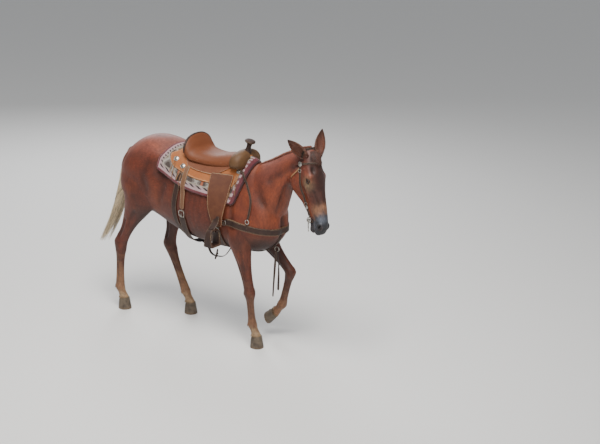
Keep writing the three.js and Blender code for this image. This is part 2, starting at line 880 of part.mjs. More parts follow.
// The space that a draped sheet and all below it takes, with some clearance
const under = (shape) => drape({
  ...shape,
  from: shape.from - 0.1 * Math.sign(shape.to),
  to: shape.to + 0.1 * Math.sign(shape.to),
  rear: (angle) => shape.rear(angle) - gap,
  front: (angle) => shape.front(angle) + gap,
  lift: 0,
  thick: shape.lift + shape.thick + gap,
});

// A disc on a surface, facing out
function disc({ point, out }, radius, thick, lift) {
  const plate = new THREE.CylinderGeometry(radius * 0.8, radius, thick, 10);
  plate.rotateX(90 * degrees);
  plate.lookAt(out);
  const centre = point.clone().addScaledVector(out, lift + thick / 2);
  plate.translate(...centre.toArray());
  return solidOf(plate);
}

// A round bar through points
function bar(points, radius) {
  const rings = points.map((point, i) => {
    const next = points[Math.min(i + 1, points.length - 1)];
    const along = next.clone().sub(points[Math.max(i - 1, 0)]).normalize();
    const side = along.clone().cross(vec(0, 1, 0)).normalize();
    const up = side.clone().cross(along).normalize();
    return Array.from({ length: 6 }, (_, k) => point.clone()
      .addScaledVector(side, radius * Math.cos((k + 0.5) * 60 * degrees))
      .addScaledVector(up, radius * Math.sin((k + 0.5) * 60 * degrees)));
  });
  return skinRings(rings);
}

const nearAndOff = [['right', -1], ['left', 1]];

// Build the flesh
const torso = makeTorso();
const torsoCut = makeTorso(gap);
const head = makeHead();
const headCut = makeHead(2 * gap);
const neck = makeNeck().subtract(torsoCut).subtract(headCut);
const neckCut = makeNeck(2 * gap);
const earSolids = Object.values(ears).map((ear) => makeEar(ear));
const earCut = union(earSolids);
addNode('torso', torso, colours.coat);
addNode('eye_right', makeEye(-1), colours.eye, 0.1);
addNode('eye_left', makeEye(1), colours.eye, 0.1);
for (const [name, ear] of Object.entries(ears)) {
  addNode(name, makeEar(ear).subtract(headCut).subtract(neckCut), colours.coat);
}
for (const [name, leg] of Object.entries(legs)) {
  addNode(name, makeLeg(leg).subtract(torsoCut).subtract(makeHoof(leg, gap)), colours.legCoat);
  addNode(name.replace('leg', 'hoof'), makeHoof(leg), colours.horn);
}
addNode('tail', makeTailCore().add(makeTailLocks()).subtract(torsoCut), colours.hair);

// Build the saddle
const flesh = torsoCut.add(neckCut);
const padCut = under(pad);
const skirtCut = under(skirt);
addNode('saddle_pad', drape(pad).subtract(flesh), colours.blanket);
addNode('saddle_skirts', drape(skirt).subtract(padCut), colours.saddle);
const overSkirt = (solid) => solid.subtract(skirtCut).subtract(padCut);
const forkCutRows = forkTable.map(([x, top, low, half]) => {
  return [x + (x < 310 ? -gap : 0), top + gap, low, half + gap];
});
const forkCut = saddleLoft(forkCutRows, 2.4, 1);
addNode('saddle_fork', overSkirt(saddleLoft(forkTable, 2.4, 1)), colours.fork);
addNode('saddle_seat', overSkirt(saddleLoft(seatTable, 2.2, 1)).subtract(forkCut), colours.saddle);
addNode('saddle_horn', makeHorn().subtract(forkCut), colours.darkLeather);
for (const [side, sign] of nearAndOff) {
  const shape = sign > 0 ? fender : mirrorX(fender);
  const latigoPlaces = [[352, sign * 54], [322, sign * 76], [292, sign * 96], [270, sign * 110]];
  const latigo = trunkStrap(latigoPlaces, wide.latigo, strapThickness, { lift: padThickness + 4 });
  addNode(`fender_${side}`, drape(shape).subtract(skirtCut), colours.darkLeather);
  addNode(`stirrup_${side}`, makeStirrup(sign), colours.darkLeather);
  addNode(`latigo_${side}`, overSkirt(latigo).subtract(under(shape)), colours.darkLeather);
}

// Build the cinches: the front one is broad, the rear one hangs below the belly on billets and buckles
const cinchLow = 26;
const cinch = {
  from: 112,
  to: 248,
  rear: () => 216,
  front: () => 308,
  lift: 2.4,
  thick: 9,
  steps: 12,
  across: 2,
};
addNode('cinch_front', drape(cinch).subtract(torsoCut), colours.darkLeather);
addNode('cinch_rear', trunkStrap(
  [
    [-44, 106, 0],
    [-38, 130, 6],
    [-34, 160, cinchLow],
    [-32, 180, cinchLow],
    [-34, 200, cinchLow],
    [-38, 230, 6],
    [-44, 254, 0],
  ],
  wide.rearCinch,
  strapThickness,
  { steps: 2 },
).subtract(torsoCut), colours.darkLeather);
for (const [side, sign] of nearAndOff) {
  const billetPlaces = [[-50, sign * 40], [-46, sign * 62], [-38, sign * 80], [-38, sign * 97]];
  const overLeather = { lift: skirtLift + leather + 2, steps: 2 };
  const billet = trunkStrap(billetPlaces, wide.billet, strapThickness, overLeather);
  addNode(`billet_rear_${side}`, overSkirt(billet), colours.darkLeather);
  const buckle = trunkPoint(-38, sign * 102 * degrees, 16);
  const ring = wireRing(buckle.point.toArray(), buckle.normal.toArray(), 27, 4, 12);
  addNode(`buckle_rear_${side}`, ring, colours.steel, 0.3, 1);
  const flankPlaces = [[-94, sign * 52], [-112, sign * 78], [-128, sign * 100], [-118, sign * 120]];
  const flankStrap = trunkStrap(flankPlaces, wide.flank, thinStrap, { lift: 4, steps: 2 });
  addNode(`flank_strap_${side}`, overSkirt(flankStrap).subtract(torsoCut), colours.darkLeather);
}

// Strap between the two cinches, hanging slack under the belly, with a loose end
const route3 = (places, out) => places.map((place) => ({ point: vec(...place), out: vec(...out) }));
const slack = [[-34, 0, 727], [30, -6, 690], [76, -12, 640], [140, -14, 632], [206, -8, 652], [262, 0, 736]];
const looseEnd = [[134, -16, 690], [126, -18, 640], [112, -20, 597]];
addNode('belly_strap', union([
  ribbon(route3(refine(slack, 2), [0, 0, -1]), wide.slack, thinStrap, 0),
  ribbon(route3(looseEnd, [0, 1, 0]), wide.looseEnd, thinStrap, 0),
]), colours.darkLeather);

// Build the breast collar: a strap round the chest, rings and tugs up to the pad
const chestSurface = makeSurface(torso.add(neck));
const chestX = 480;

// Place on the chest seen from its middle: turn in degrees from straight ahead, level
function chestPlace(turn, level) {
  const inside = vec(chestX, 0, level);
  const outward = vec(Math.cos(turn * degrees), Math.sin(turn * degrees), 0);
  const outside = inside.clone().addScaledVector(outward, 600);
  return castOn(chestSurface, outside, inside);
}

// Place on the flank at some x and level
const flankPlace = (x, level, sign) => castOn(chestSurface, vec(x, sign * 600, level), vec(x, 0, level));

const foreLegs = makeLeg(legs.leg_front_right, gap).add(makeLeg(legs.leg_front_left, gap));
const collarTurns = [-118, -100, -84, -66, -48, -32, -16, 0, 16, 32, 48, 66, 84, 100, 118];
const collarRoute = collarTurns.map((turn) => chestPlace(turn, mix(966, 1016, Math.abs(turn) / 118)));
const collarSolid = ribbon(collarRoute, wide.collar, strapThickness, 4);
addNode('breast_collar', collarSolid.subtract(flesh).subtract(foreLegs), colours.darkLeather);
for (const [side, sign] of nearAndOff) {
  const ring = flankPlace(561, 1052, sign);
  ring.point.addScaledVector(ring.out, 10);
  const wire = wireRing(ring.point.toArray(), ring.out.toArray(), 17, 3, 8);
  addNode(`collar_ring_${side}`, wire.subtract(flesh), colours.steel, 0.3, 1);
  const tugPlaces = [[561, 1076], [566, 1130], [566, 1190], [548, 1240], [512, 1284]];
  const tug = ribbon(tugPlaces.map(([x, level]) => flankPlace(x, level, sign)), wide.tug, thinStrap, 3);
  addNode(`collar_tug_${side}`, tug.subtract(flesh).subtract(padCut), colours.darkLeather);
}

// Strap from the collar down the middle of the chest to the cinch, with a ring and two hanging ends
const breastRows = [[733, 922], [712, 868], [676, 830], [620, 797], [540, 764], [440, 752], [330, 750]];
const breastRoute = breastRows.map(([x, z], i) => {
  const ahead = breastRows[Math.max(i - 1, 0)];
  const behind = breastRows[Math.min(i + 1, breastRows.length - 1)];
  const along = vec(behind[0] - ahead[0], 0, behind[1] - ahead[1]);
  const out = along.cross(vec(0, 1, 0)).normalize();
  return { point: vec(x, 0, z), out: out.z > 0 ? out.negate() : out };
});
const breastSolid = ribbon(breastRoute, wide.breast, thinStrap, 4);
addNode('breast_strap', breastSolid.subtract(torsoCut).subtract(under(cinch)), colours.darkLeather);
addNode('chest_ring', wireRing([706, 0, 808], [0, 1, 0], 20, 3.5, 12), colours.steel, 0.3, 1);
const hangingEnds = {
  hanging_strap_a: [[704, -7, 798], [702, -10, 720], [700, -12, 600], [695, -12, 408]],
  hanging_strap_b: [[707, 7, 798], [716, 10, 720], [724, 10, 600], [726, 10, 462]],
};
for (const [name, places] of Object.entries(hangingEnds)) {
  const route = route3(places, [0.2, name.endsWith('a') ? -1 : 1, 0]);
  addNode(name, ribbon(route, wide.hanging, thinStrap, 0), colours.darkLeather);
}

// Build the bridle
const bridleSurface = makeSurface(head.add(neck));

function sidePlace(u, v, sign) {
  return castOn(bridleSurface, headPoint(u, v, sign * 400), headPoint(u, v, 0));
}

// Place round the head: turn in degrees from the forehead over the left side
function roundPlace(u, turn, reach = 400) {
  const outside = headPoint(u, -90 + reach * Math.cos(turn * degrees), reach * Math.sin(turn * degrees));
  return castOn(bridleSurface, outside, headPoint(u, -90, 0));
}

const rosette = [74, -100];
const bitPlace = [546, -152];
const cheekRows = refine([rosette, [150, -122], [240, -140], [330, -150], [434, -155], [520, -148]], 2);
const strapTop = 8; // the outer face of a bridle strap above the head
const strapBase = 4; // and its inner face, before the head is cut from it

// Cheek strap with its rosette and a round keeper
function makeCheek(sign, grow = 0) {
  const route = cheekRows.map(([u, v]) => sidePlace(u, v, sign));
  const thick = strapTop - strapBase + 2 * grow;
  const strap = ribbon(route, wide.cheek + 2 * grow, thick, strapBase - grow);
  const button = disc(sidePlace(...rosette, sign), 21 + grow, 4 + sunk + grow, strapTop - sunk);
  const keeper = disc(sidePlace(440, -155, sign), 14 + grow, 3 + sunk + grow, strapTop - sunk);
  return union([strap, button, keeper]).subtract(headCut);
}

const cheekCut = makeCheek(-1, 2 * gap).add(makeCheek(1, 2 * gap));
const headAndNeck = union([makeHead(2 * gap), makeNeck(2 * gap), earCut, cheekCut]);
const offHead = (solid) => solid.subtract(headAndNeck);

function headBand(rows, width, reach) {
  const route = rows.map(([u, turn]) => roundPlace(u, turn, reach));
  return offHead(ribbon(route, width, strapTop - strapBase, strapBase));
}

// The space of a band with some clearance
const growBand = (rows, width) => (
  ribbon(rows.map(([u, turn]) => roundPlace(u, turn)), width + 2 * gap, strapTop + sunk + gap, -sunk)
);

const crownEnd = 82;
const browEnd = 80;
const evenTurns = (from, to, count) => Array.from({ length: count + 1 }, (_, i) => mix(from, to, i / count));
const crownRows = evenTurns(-crownEnd, crownEnd, 12).map((turn) => {
  return [-36 + 102 * (Math.abs(turn) / 90) ** 5, turn];
});
const browRows = evenTurns(-browEnd, browEnd, 8).map((turn) => {
  return [mix(100, 78, Math.abs(turn) / browEnd), turn];
});
const throatRows = evenTurns(106, 254, 12).map((turn) => [mix(205, 92, Math.abs(turn - 180) / 74), turn]);
const crownPieces = headBand(crownRows, wide.crown).decompose().sort((a, b) => b.volume() - a.volume());
addNode('bridle_crown', crownPieces[0], colours.darkLeather);
addNode('bridle_crown_end', crownPieces[1], colours.darkLeather);
addNode('browband', headBand(browRows, wide.brow), colours.darkLeather);
addNode('throatlatch', headBand(throatRows, wide.throat, 240), colours.fork);

// Bit: a ring at the corner of the mouth on a bent shank
const shank = [[508, -142, 42], [546, -156, 48], [594, -172, 48], [638, -188, 42]];

function makeBit(sign, grow = 0) {
  const arm = bar(shank.map(([u, v, y]) => headPoint(u, v, y * sign)), 4 + grow);
  const facing = headPoint(0, 0, sign).sub(headPoint(0, 0, 0));
  return arm.add(wireRing(headPoint(...bitPlace, 50 * sign).toArray(), facing.toArray(), 19, 3.5 + grow, 8));
}

for (const [side, sign] of nearAndOff) {
  addNode(`cheek_strap_${side}`, makeCheek(sign), colours.darkLeather);
  addNode(`bit_${side}`, offHead(makeBit(sign)), colours.steel, 0.3, 1);
}
const curb = headBand(evenTurns(116, 244, 6).map((turn) => [566, turn]), wide.curb);
addNode('curb_strap', curb.subtract(makeBit(-1, gap)).subtract(makeBit(1, gap)), colours.darkLeather);

// Fuse the forelock on the head and the clipped mane on the neck, clear of ears and straps
const earClear = union(Object.values(ears).map((ear) => makeEar(ear, 4)));

function forelockLock([rootTurn, tipTurn, reach]) {
  const route = lockShape.map((_, i) => {
    const t = i / (lockShape.length - 1);
    const { point, out } = roundPlace(mix(-12, reach, t), mix(rootTurn, tipTurn, t));
    return { point: point.addScaledVector(out, mix(-6, 9, Math.min(1, t * 2)) + 4 * Math.sin(t * 3)), out };
  });
  return lock(route, 26, 13);
}

const forelockSolid = union(forelock.map(forelockLock))
  .subtract(earClear)
  .subtract(growBand(browRows, wide.brow))
  .subtract(growBand(crownRows, wide.crown));
addNode('head', carveHead(head).add(forelockSolid), colours.coat);

function maneClump(k) {
  const rows = refine(neckTable, 3);
  const place = mix(5, rows.length - 2.2, k / (maneClumps - 1));
  const i = Math.floor(place);
  const at = (row) => vec(row[0], row[4], row[1]);
  const base = at(rows[i]).lerp(at(rows[i + 1]), place - i);
  const along = at(rows[i + 1]).sub(at(rows[i])).normalize();
  const up = vec(-along.z, 0, along.x);
  const tall = maneHeight * (k % 2 ? 0.86 : 1) * Math.min(1, 0.45 + k / 5);
  const corner = (a, y, h) => {
    const onCrest = base.clone().addScaledVector(along, a);
    return onCrest.add(vec(0, y, 0)).addScaledVector(up, h);
  };
  const ring = (half, side, h, lean) => [
    corner(half + lean, side, h),
    corner(half + lean, -side, h),
    corner(-half + lean, -side, h),
    corner(-half + lean, side, h),
  ];
  return skinRings([ring(34, 9, -14, 0), ring(20, 3, tall, 9)]);
}

const maneSolid = union(Array.from({ length: maneClumps }, (_, k) => maneClump(k)));
const maneCut = union([headCut, torsoCut, earClear, growBand(crownRows, wide.crown), padCut]);
addNode('neck', neck.add(maneSolid.subtract(maneCut)), colours.coat);

// The mule stands over the middle of its own length and width
const extent = new THREE.Box3().setFromObject(mule);
const middle = extent.getCenter(vec());
for (const mesh of mule.children) mesh.geometry.translate(-middle.x, -middle.y, 0);

export default mule;
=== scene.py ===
# A saddled riding mule, life size, in a walk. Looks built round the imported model.
# Tables are in millimetres in the frame of the part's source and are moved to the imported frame.
import bpy
import math
import numpy as np
from mathutils import Matrix, Vector
from mathutils.bvhtree import BVHTree
from mathutils.kdtree import KDTree


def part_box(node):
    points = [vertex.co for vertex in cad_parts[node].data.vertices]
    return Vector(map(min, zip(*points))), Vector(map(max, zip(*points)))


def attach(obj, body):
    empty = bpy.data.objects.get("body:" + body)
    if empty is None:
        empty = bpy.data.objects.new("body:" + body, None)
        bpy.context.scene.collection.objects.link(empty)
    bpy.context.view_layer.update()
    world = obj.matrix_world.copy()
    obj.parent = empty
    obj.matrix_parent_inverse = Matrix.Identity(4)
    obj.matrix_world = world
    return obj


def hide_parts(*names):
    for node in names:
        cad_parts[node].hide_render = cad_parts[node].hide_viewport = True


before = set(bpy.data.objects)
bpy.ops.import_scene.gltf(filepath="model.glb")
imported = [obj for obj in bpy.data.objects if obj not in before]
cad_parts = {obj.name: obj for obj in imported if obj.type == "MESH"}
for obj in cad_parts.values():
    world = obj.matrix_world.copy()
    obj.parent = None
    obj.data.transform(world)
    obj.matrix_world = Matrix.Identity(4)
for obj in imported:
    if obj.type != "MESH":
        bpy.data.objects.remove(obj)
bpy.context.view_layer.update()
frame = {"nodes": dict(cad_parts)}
nodes = frame["nodes"]
print("stage: model loaded", len(nodes), "nodes")

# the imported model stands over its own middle: the right fore hoof says how far that is
hoofLow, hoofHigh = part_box("hoof_front_right")
middle = np.array([643 - 500 * (hoofLow.x + hoofHigh.x), -136 - 500 * (hoofLow.y + hoofHigh.y), 0])


def metres(points):
    return (np.asarray(points, float) - middle) / 1000


# the points of a piece in millimetres of the mule
def millimetres(obj):
    return points(obj) * 1000 + middle


def rad(angle):
    return angle * math.pi / 180


def lerp(a, b, t):
    return a + (b - a) * t


def unit(v):
    v = np.asarray(v, float)
    return v / np.maximum(np.linalg.norm(v, axis=-1, keepdims=True), 1e-9)


def smooth01(x, low, high):
    t = np.clip((np.asarray(x, float) - low) / (high - low), 0, 1)
    return t * t * (3 - 2 * t)


# camera, as the photograph was taken
view = {"azimuth": 33, "elevation": 17, "roll": 2.5, "away": 11.0, "focal": 1343, "target": (206, 232.3)}


def addCamera():
    az, el, roll = rad(view["azimuth"]), rad(view["elevation"]), rad(view["roll"])
    back = Vector((math.sin(az) * math.cos(el), -math.cos(az) * math.cos(el), math.sin(el)))
    right = Vector((math.cos(az), math.sin(az), 0))
    up = back.cross(right)
    across = right * math.cos(roll) + up * math.sin(roll)
    above = up * math.cos(roll) - right * math.sin(roll)
    target = Vector((-middle[0] / 1000, -middle[1] / 1000, 0.8))
    scale = view["away"] / view["focal"]
    place = target + back * view["away"]
    place -= across * (view["target"][0] - 300) * scale
    place += above * (view["target"][1] - 222) * scale
    data = bpy.data.cameras.new("camera")
    data.sensor_width = 36
    data.lens = view["focal"] / 600 * 36
    data.clip_end = 100
    camera = bpy.data.objects.new("camera", data)
    turn = Matrix((across, above, back)).transposed()
    camera.matrix_world = Matrix.Translation(place) @ turn.to_4x4()
    bpy.context.scene.collection.objects.link(camera)
    bpy.context.scene.camera = camera


addCamera()


# small tools for meshes
def deselect():
    for obj in bpy.context.selected_objects:
        obj.select_set(False)


def choose(obj):
    deselect()
    obj.select_set(True)
    bpy.context.view_layer.objects.active = obj
    return obj


def meshPiece(name, places, faces):
    data = bpy.data.meshes.new(name)
    data.from_pydata(places.tolist(), [], faces)
    data.update()
    obj = bpy.data.objects.new(name, data)
    bpy.context.scene.collection.objects.link(obj)
    shadeSmooth(obj)
    return obj


def join(name, pieces):
    deselect()
    for piece in pieces:
        piece.select_set(True)
    bpy.context.view_layer.objects.active = pieces[0]
    if len(pieces) > 1:
        bpy.ops.object.join()
    pieces[0].name = name
    pieces[0].data.name = name
    return pieces[0]


def addModifier(obj, kind, **values):
    modifier = obj.modifiers.new(kind.lower(), kind)
    for key, value in values.items():
        setattr(modifier, key, value)
    return modifier


def applyAll(obj):
    choose(obj)
    for modifier in list(obj.modifiers):
        bpy.ops.object.modifier_apply(modifier=modifier.name)
    return obj


def fixNormals(obj):
    choose(obj)
    bpy.ops.object.mode_set(mode="EDIT")
    bpy.ops.mesh.select_all(action="SELECT")
    bpy.ops.mesh.remove_doubles(threshold=0.00002)
    bpy.ops.mesh.normals_make_consistent(inside=False)
    bpy.ops.object.mode_set(mode="OBJECT")
    return obj


def points(obj, kind="co"):
    values = np.zeros(len(obj.data.vertices) * 3)
    obj.data.vertices.foreach_get(kind, values)
    return values.reshape(-1, 3)


def normals(obj):
    return points(obj, "normal")


def triangles(obj):
    obj.data.calc_loop_triangles()
    corners = np.zeros(len(obj.data.loop_triangles) * 3, np.int32)
    obj.data.loop_triangles.foreach_get("vertices", corners)
    return corners.reshape(-1, 3)


def shadeSmooth(obj):
    obj.data.polygons.foreach_set("use_smooth", np.ones(len(obj.data.polygons), bool))


def setPoints(obj, places):
    obj.data.vertices.foreach_set("co", np.asarray(places, float).ravel())
    obj.data.update()


# smooth rows and rings, as the solids are made, only finer
def fineRows(rows, steps):
    rows = np.array(rows, float)
    last = len(rows) - 1
    out = []
    for i in range(last):
        p0, p1, p2, p3 = rows[max(i - 1, 0)], rows[i], rows[i + 1], rows[min(i + 2, last)]
        for s in range(steps):
            t = s / steps
            out.append(0.5 * (2 * p1 + (p2 - p0) * t + (2 * p0 - 5 * p1 + 4 * p2 - p3) * t * t
                              + (3 * p1 - p0 - 3 * p2 + p3) * t ** 3))
    out.append(rows[last])
    return np.array(out)


def rowAt(rows, x):
    rows = np.asarray(rows, float)
    last = len(rows) - 1
    i = 0
    while i < last - 1 and x > rows[i + 1][0]:
        i += 1
    left, right = rows[i], rows[i + 1]
    span = right[0] - left[0]
    t = min(max((x - left[0]) / span, 0), 1)
    before, after = rows[max(i - 1, 0)], rows[min(i + 2, last)]
    slopeLeft = (right - before) / (right[0] - before[0]) if i > 0 else (right - left) / span
    slopeRight = (after - left) / (after[0] - left[0]) if i < last - 1 else (right - left) / span
    h = t * t * (3 - 2 * t)
    rise = t * (1 - t) ** 2 * slopeLeft - t * t * (1 - t) * slopeRight
    return left + (right - left) * h + span * rise


def ringAt(ring, angles, grow=0.0):
    centre, up, down, side, squareUp, squareDown = ring
    angles = np.atleast_1d(np.asarray(angles, float))
    cosine, sine = np.cos(angles), np.sin(angles)
    above = (cosine >= 0)[:, None]
    exponent = np.where(cosine >= 0, 2 / squareUp, 2 / squareDown)
    height = (np.abs(cosine) ** exponent)[:, None]
    width = (np.sign(sine) * np.abs(sine) ** exponent)[:, None]

    def longer(axis):
        return axis * (np.linalg.norm(axis) + grow) / np.linalg.norm(axis)

    half = np.where(above, longer(up), longer(down))
    return centre + half * height + longer(side) * width


def outlineRing(upper, lower, y, half, widest=0.5, squareUp=2.0, squareDown=2.0):
    top = np.array([upper[0], y, upper[1]], float)
    bottom = np.array([lower[0], y, lower[1]], float)
    centre = lerp(bottom, top, widest)
    return centre, top - centre, bottom - centre, np.array([0, half, 0.0]), squareUp, squareDown


def betweenRings(rows, nextRows):
    corners = [rows, np.roll(rows, -1, 1), np.roll(nextRows, -1, 1), nextRows]
    return np.stack(corners, -1).reshape(-1, 4).tolist()


# a tube through rings of millimetres, closed at both ends
def loft(name, rings):
    rings = [metres(ring) for ring in rings]
    count = len(rings[0])
    grid = np.arange(len(rings) * count).reshape(len(rings), count)
    faces = betweenRings(grid[:-1], grid[1:])
    verts = np.concatenate(rings)
    ends = [len(verts), len(verts) + 1]
    verts = np.concatenate([verts, [np.mean(rings[0], 0)], [np.mean(rings[-1], 0)]])
    for i in range(count):
        j = (i + 1) % count
        faces.append([int(grid[0][j]), int(grid[0][i]), ends[0]])
        faces.append([int(grid[-1][i]), int(grid[-1][j]), ends[1]])
    return meshPiece(name, verts, faces)


# a tube that meets itself again
def hoop(name, rings):
    grid = np.arange(len(rings) * len(rings[0])).reshape(len(rings), -1)
    faces = betweenRings(grid, np.roll(grid, -1, 0))
    return fixNormals(meshPiece(name, metres(np.concatenate(rings)), faces))


# the shape of the body
backDrop, withersTop, croupTop = 62, 1496, 1556
torsoTable = [
    [-814, 1292, 1240, 1190, 62, 2, 2],
    [-796, 1352, 1240, 1120, 128, 2, 2],
    [-730, 1430, 1250, 1010, 196, 2, 2],
    [-630, 1506, 1262, 930, 238, 1.9, 2],
    [-510, croupTop - 8, 1262, 890, 252, 1.9, 2],
    [-390, croupTop - 2, 1230, 850, 252, 1.9, 2],
    [-260, 1536, 1160, 806, 248, 1.9, 2.1],
    [-130, 1490, 1120, 778, 264, 1.8, 2.2],
    [0, withersTop - backDrop + 14, 1090, 760, 272, 1.8, 2.2],
    [140, withersTop - backDrop + 4, 1080, 752, 266, 1.7, 2.1],
    [270, 1468, 1065, 750, 242, 1.5, 2],
    [370, withersTop, 1050, 750, 224, 1.35, 2],
    [470, 1490, 1040, 754, 214, 1.4, 2],
    [560, 1440, 1035, 768, 204, 1.6, 2],
    [640, 1350, 1030, 806, 186, 1.9, 2.1],
    [700, 1240, 1025, 856, 150, 2, 2.2],
    [734, 1150, 1015, 912, 100, 2, 2],
    [747, 1080, 1010, 955, 50, 2, 2],
]
neckTable = [
    [440, 1430, 600, 1000, 0, 150],
    [545, 1480, 722, 1052, 0, 146],
    [650, 1530, 768, 1140, 3, 122],
    [750, 1588, 784, 1225, 7, 99],
    [842, 1632, 796, 1318, 10, 82],
    [915, 1660, 826, 1415, 12, 72],
    [975, 1652, 888, 1490, 12, 58],
]
# head rows: along it, forehead line, lower line, half width, widest part
faceTable = [
    [-48, -28, -128, 50, 0.5],
    [0, 2, -150, 66, 0.55],
    [70, 15, -165, 84, 0.6],
    [150, 18, -170, 96, 0.66],
    [215, 15, -170, 101, 0.7],
    [275, 11, -165, 90, 0.66],
    [345, 7, -160, 73, 0.6],
    [430, 4, -148, 58, 0.55],
    [520, -2, -138, 51, 0.5],
    [595, -14, -138, 52, 0.45],
    [645, -34, -142, 53, 0.42],
    [678, -62, -134, 44, 0.4],
    [690, -86, -122, 24, 0.5],
]
jawTable = [
    [55, -90, -190, 44],
    [110, -80, -262, 60],
    [180, -80, -298, 67],
    [255, -80, -292, 64],
    [335, -80, -252, 52],
    [420, -80, -208, 40],
    [510, -80, -178, 35],
    [575, -90, -174, 38],
    [625, -104, -180, 37],
    [656, -116, -168, 26],
]
# the left eyeball: along the head, above its line and out to the side
eyePlace = (232, -50, 79)
headPlace = {"poll": (1004, 20, 1646), "pitch": 67, "yaw": -20, "tilt": -14, "scale": (0.91, 0.95, 0.95)}
# leg rows: bone, place along it, reach in front, reach behind, half width
foreSections = [
    [0, -0.3, 105, 105, 74], [0, 0, 96, 102, 78], [0, 0.22, 84, 84, 66], [0, 0.45, 60, 62, 53],
    [0, 0.7, 45, 47, 43], [0, 0.9, 42, 43, 41], [1, 0.02, 45, 50, 45], [1, 0.14, 39, 42, 39],
    [1, 0.28, 29, 38, 28], [1, 0.52, 26, 35, 26], [1, 0.78, 27, 36, 27], [1, 0.93, 32, 40, 33],
    [2, 0.06, 35, 43, 36], [2, 0.45, 28, 34, 30], [2, 0.85, 33, 38, 36], [2, 1.15, 34, 38, 38],
]
hindSections = [
    [0, -0.25, 150, 165, 88], [0, 0.2, 165, 205, 104], [0, 0.6, 172, 198, 106], [1, 0.0, 150, 162, 92],
    [1, 0.22, 108, 120, 70], [1, 0.45, 70, 86, 52], [1, 0.68, 47, 66, 40], [1, 0.86, 44, 72, 37],
    [1, 0.98, 52, 70, 43], [2, 0.1, 50, 54, 42], [2, 0.24, 39, 46, 34], [2, 0.45, 32, 42, 29],
    [2, 0.72, 32, 42, 29], [2, 0.92, 36, 44, 35], [3, 0.06, 38, 46, 38], [3, 0.45, 30, 36, 31],
    [3, 0.85, 34, 40, 37], [3, 1.15, 35, 40, 38],
]
legs = {
    "front_right": {
        "sections": foreSections,
        "joints": [[440, -140, 880], [558, -142, 445], [592, -138, 188], [636, -136, 92]],
        "toe": [694, -136, 0], "heel": [592, -136, 0],
    },
    "front_left": {
        "sections": foreSections,
        "joints": [[450, 140, 880], [752, 146, 590], [690, 142, 300], [622, 140, 214]],
        "toe": [574, 138, 106], "heel": [536, 138, 200],
    },
    "hind_right": {
        "sections": hindSections,
        "joints": [[-570, -132, 1250], [-578, -146, 1000], [-788, -142, 560], [-797, -138, 186],
                   [-752, -136, 92]],
        "toe": [-692, -136, 0], "heel": [-794, -136, 0],
    },
    "hind_left": {
        "sections": hindSections,
        "joints": [[-530, 132, 1250], [-415, 144, 1000], [-478, 138, 555], [-300, 134, 186],
                   [-246, 132, 92]],
        "toe": [-188, 132, 0], "heel": [-290, 132, 0],
    },
}


def torsoRing(x):
    _, top, level, bottom, half, squareUp, squareDown = rowAt(torsoTable, x)
    return (np.array([x, 0, level]), np.array([0, 0, top - level]), np.array([0, 0, bottom - level]),
            np.array([0, half, 0.0]), squareUp, squareDown)


trunkX = np.arange(torsoTable[0][0], torsoTable[-1][0] + 1, 2.0)
trunkRows = np.array([rowAt(torsoTable, x) for x in trunkX])


# places of the trunk at many x and angles
def trunkPlaces(x, angle):
    x, angle = np.broadcast_arrays(np.asarray(x, float), np.asarray(angle, float))
    columns = [np.interp(x, trunkX, column) for column in trunkRows.T]
    _, top, level, bottom, half, squareUp, squareDown = columns
    cosine, sine = np.cos(angle), np.sin(angle)
    above = cosine >= 0
    exponent = np.where(above, 2 / squareUp, 2 / squareDown)
    height = np.abs(cosine) ** exponent * np.where(above, top - level, bottom - level)
    return np.stack([x, np.sign(sine) * np.abs(sine) ** exponent * half, level + height], -1)


# places of the trunk and their ways out; the angle runs from the back down the left side
def trunkPoints(x, angle):
    x, angle = np.broadcast_arrays(np.asarray(x, float), np.asarray(angle, float))
    place = trunkPlaces(x, angle)
    out = unit(np.cross(trunkPlaces(x + 4, angle) - trunkPlaces(x - 4, angle),
                        trunkPlaces(x, angle + 0.03) - trunkPlaces(x, angle - 0.03)))
    centre = np.stack([x, np.zeros_like(x), np.interp(x, trunkX, trunkRows[:, 2])], -1)
    turned = ((place - centre) * out).sum(-1) < 0
    return place, np.where(turned[..., None], -out, out)


# the same for one place, with the angle in degrees
def trunkPoint(x, angle, lift=0.0):
    place, out = trunkPoints(x, rad(angle))
    return place + out * lift, out


def headFrame():
    turn = Matrix.Rotation(rad(headPlace["yaw"]), 4, "Z")
    nod = Matrix.Rotation(rad(headPlace["pitch"]), 4, "Y")
    lean = Matrix.Rotation(rad(headPlace["tilt"]), 4, "X")
    size = Matrix.Diagonal((*headPlace["scale"], 1))
    return np.array(Matrix.Translation(headPlace["poll"]) @ turn @ nod @ lean @ size)


toHead = headFrame()
fromHead = np.linalg.inv(toHead)


def headPoint(u, v, y):
    return toHead[:3, :3] @ np.array([u, y, v], float) + toHead[:3, 3]


def headWay(u, v, y):
    return headPoint(u, v, y) - headPoint(0, 0, 0)


# many places u, v, y of the head, in the mule's millimetres
def headPoints(places):
    places = np.asarray(places, float)[..., [0, 2, 1]]
    return places @ toHead[:3, :3].T + toHead[:3, 3]


# millimetres of the mule seen as u, v, y of the head
def inHead(places):
    local = np.asarray(places, float) @ fromHead[:3, :3].T + fromHead[:3, 3]
    return local[..., [0, 2, 1]]


def turns(count):
    return (np.arange(count) + 0.5) * 2 * math.pi / count


def torsoRings(steps=6, sides=72):
    rings = []
    for (x0, *_), (x1, *_) in zip(torsoTable, torsoTable[1:]):
        rings += [ringAt(torsoRing(lerp(x0, x1, s / steps)), turns(sides)) for s in range(steps)]
    return rings + [ringAt(torsoRing(torsoTable[-1][0]), turns(sides))]


def neckRings(steps=8, sides=56):
    return [ringAt(outlineRing((cx, cz), (ux, uz), y, half, 0.42, 1.6, 2.1), turns(sides))
            for cx, cz, ux, uz, y, half in fineRows(neckTable, steps)]


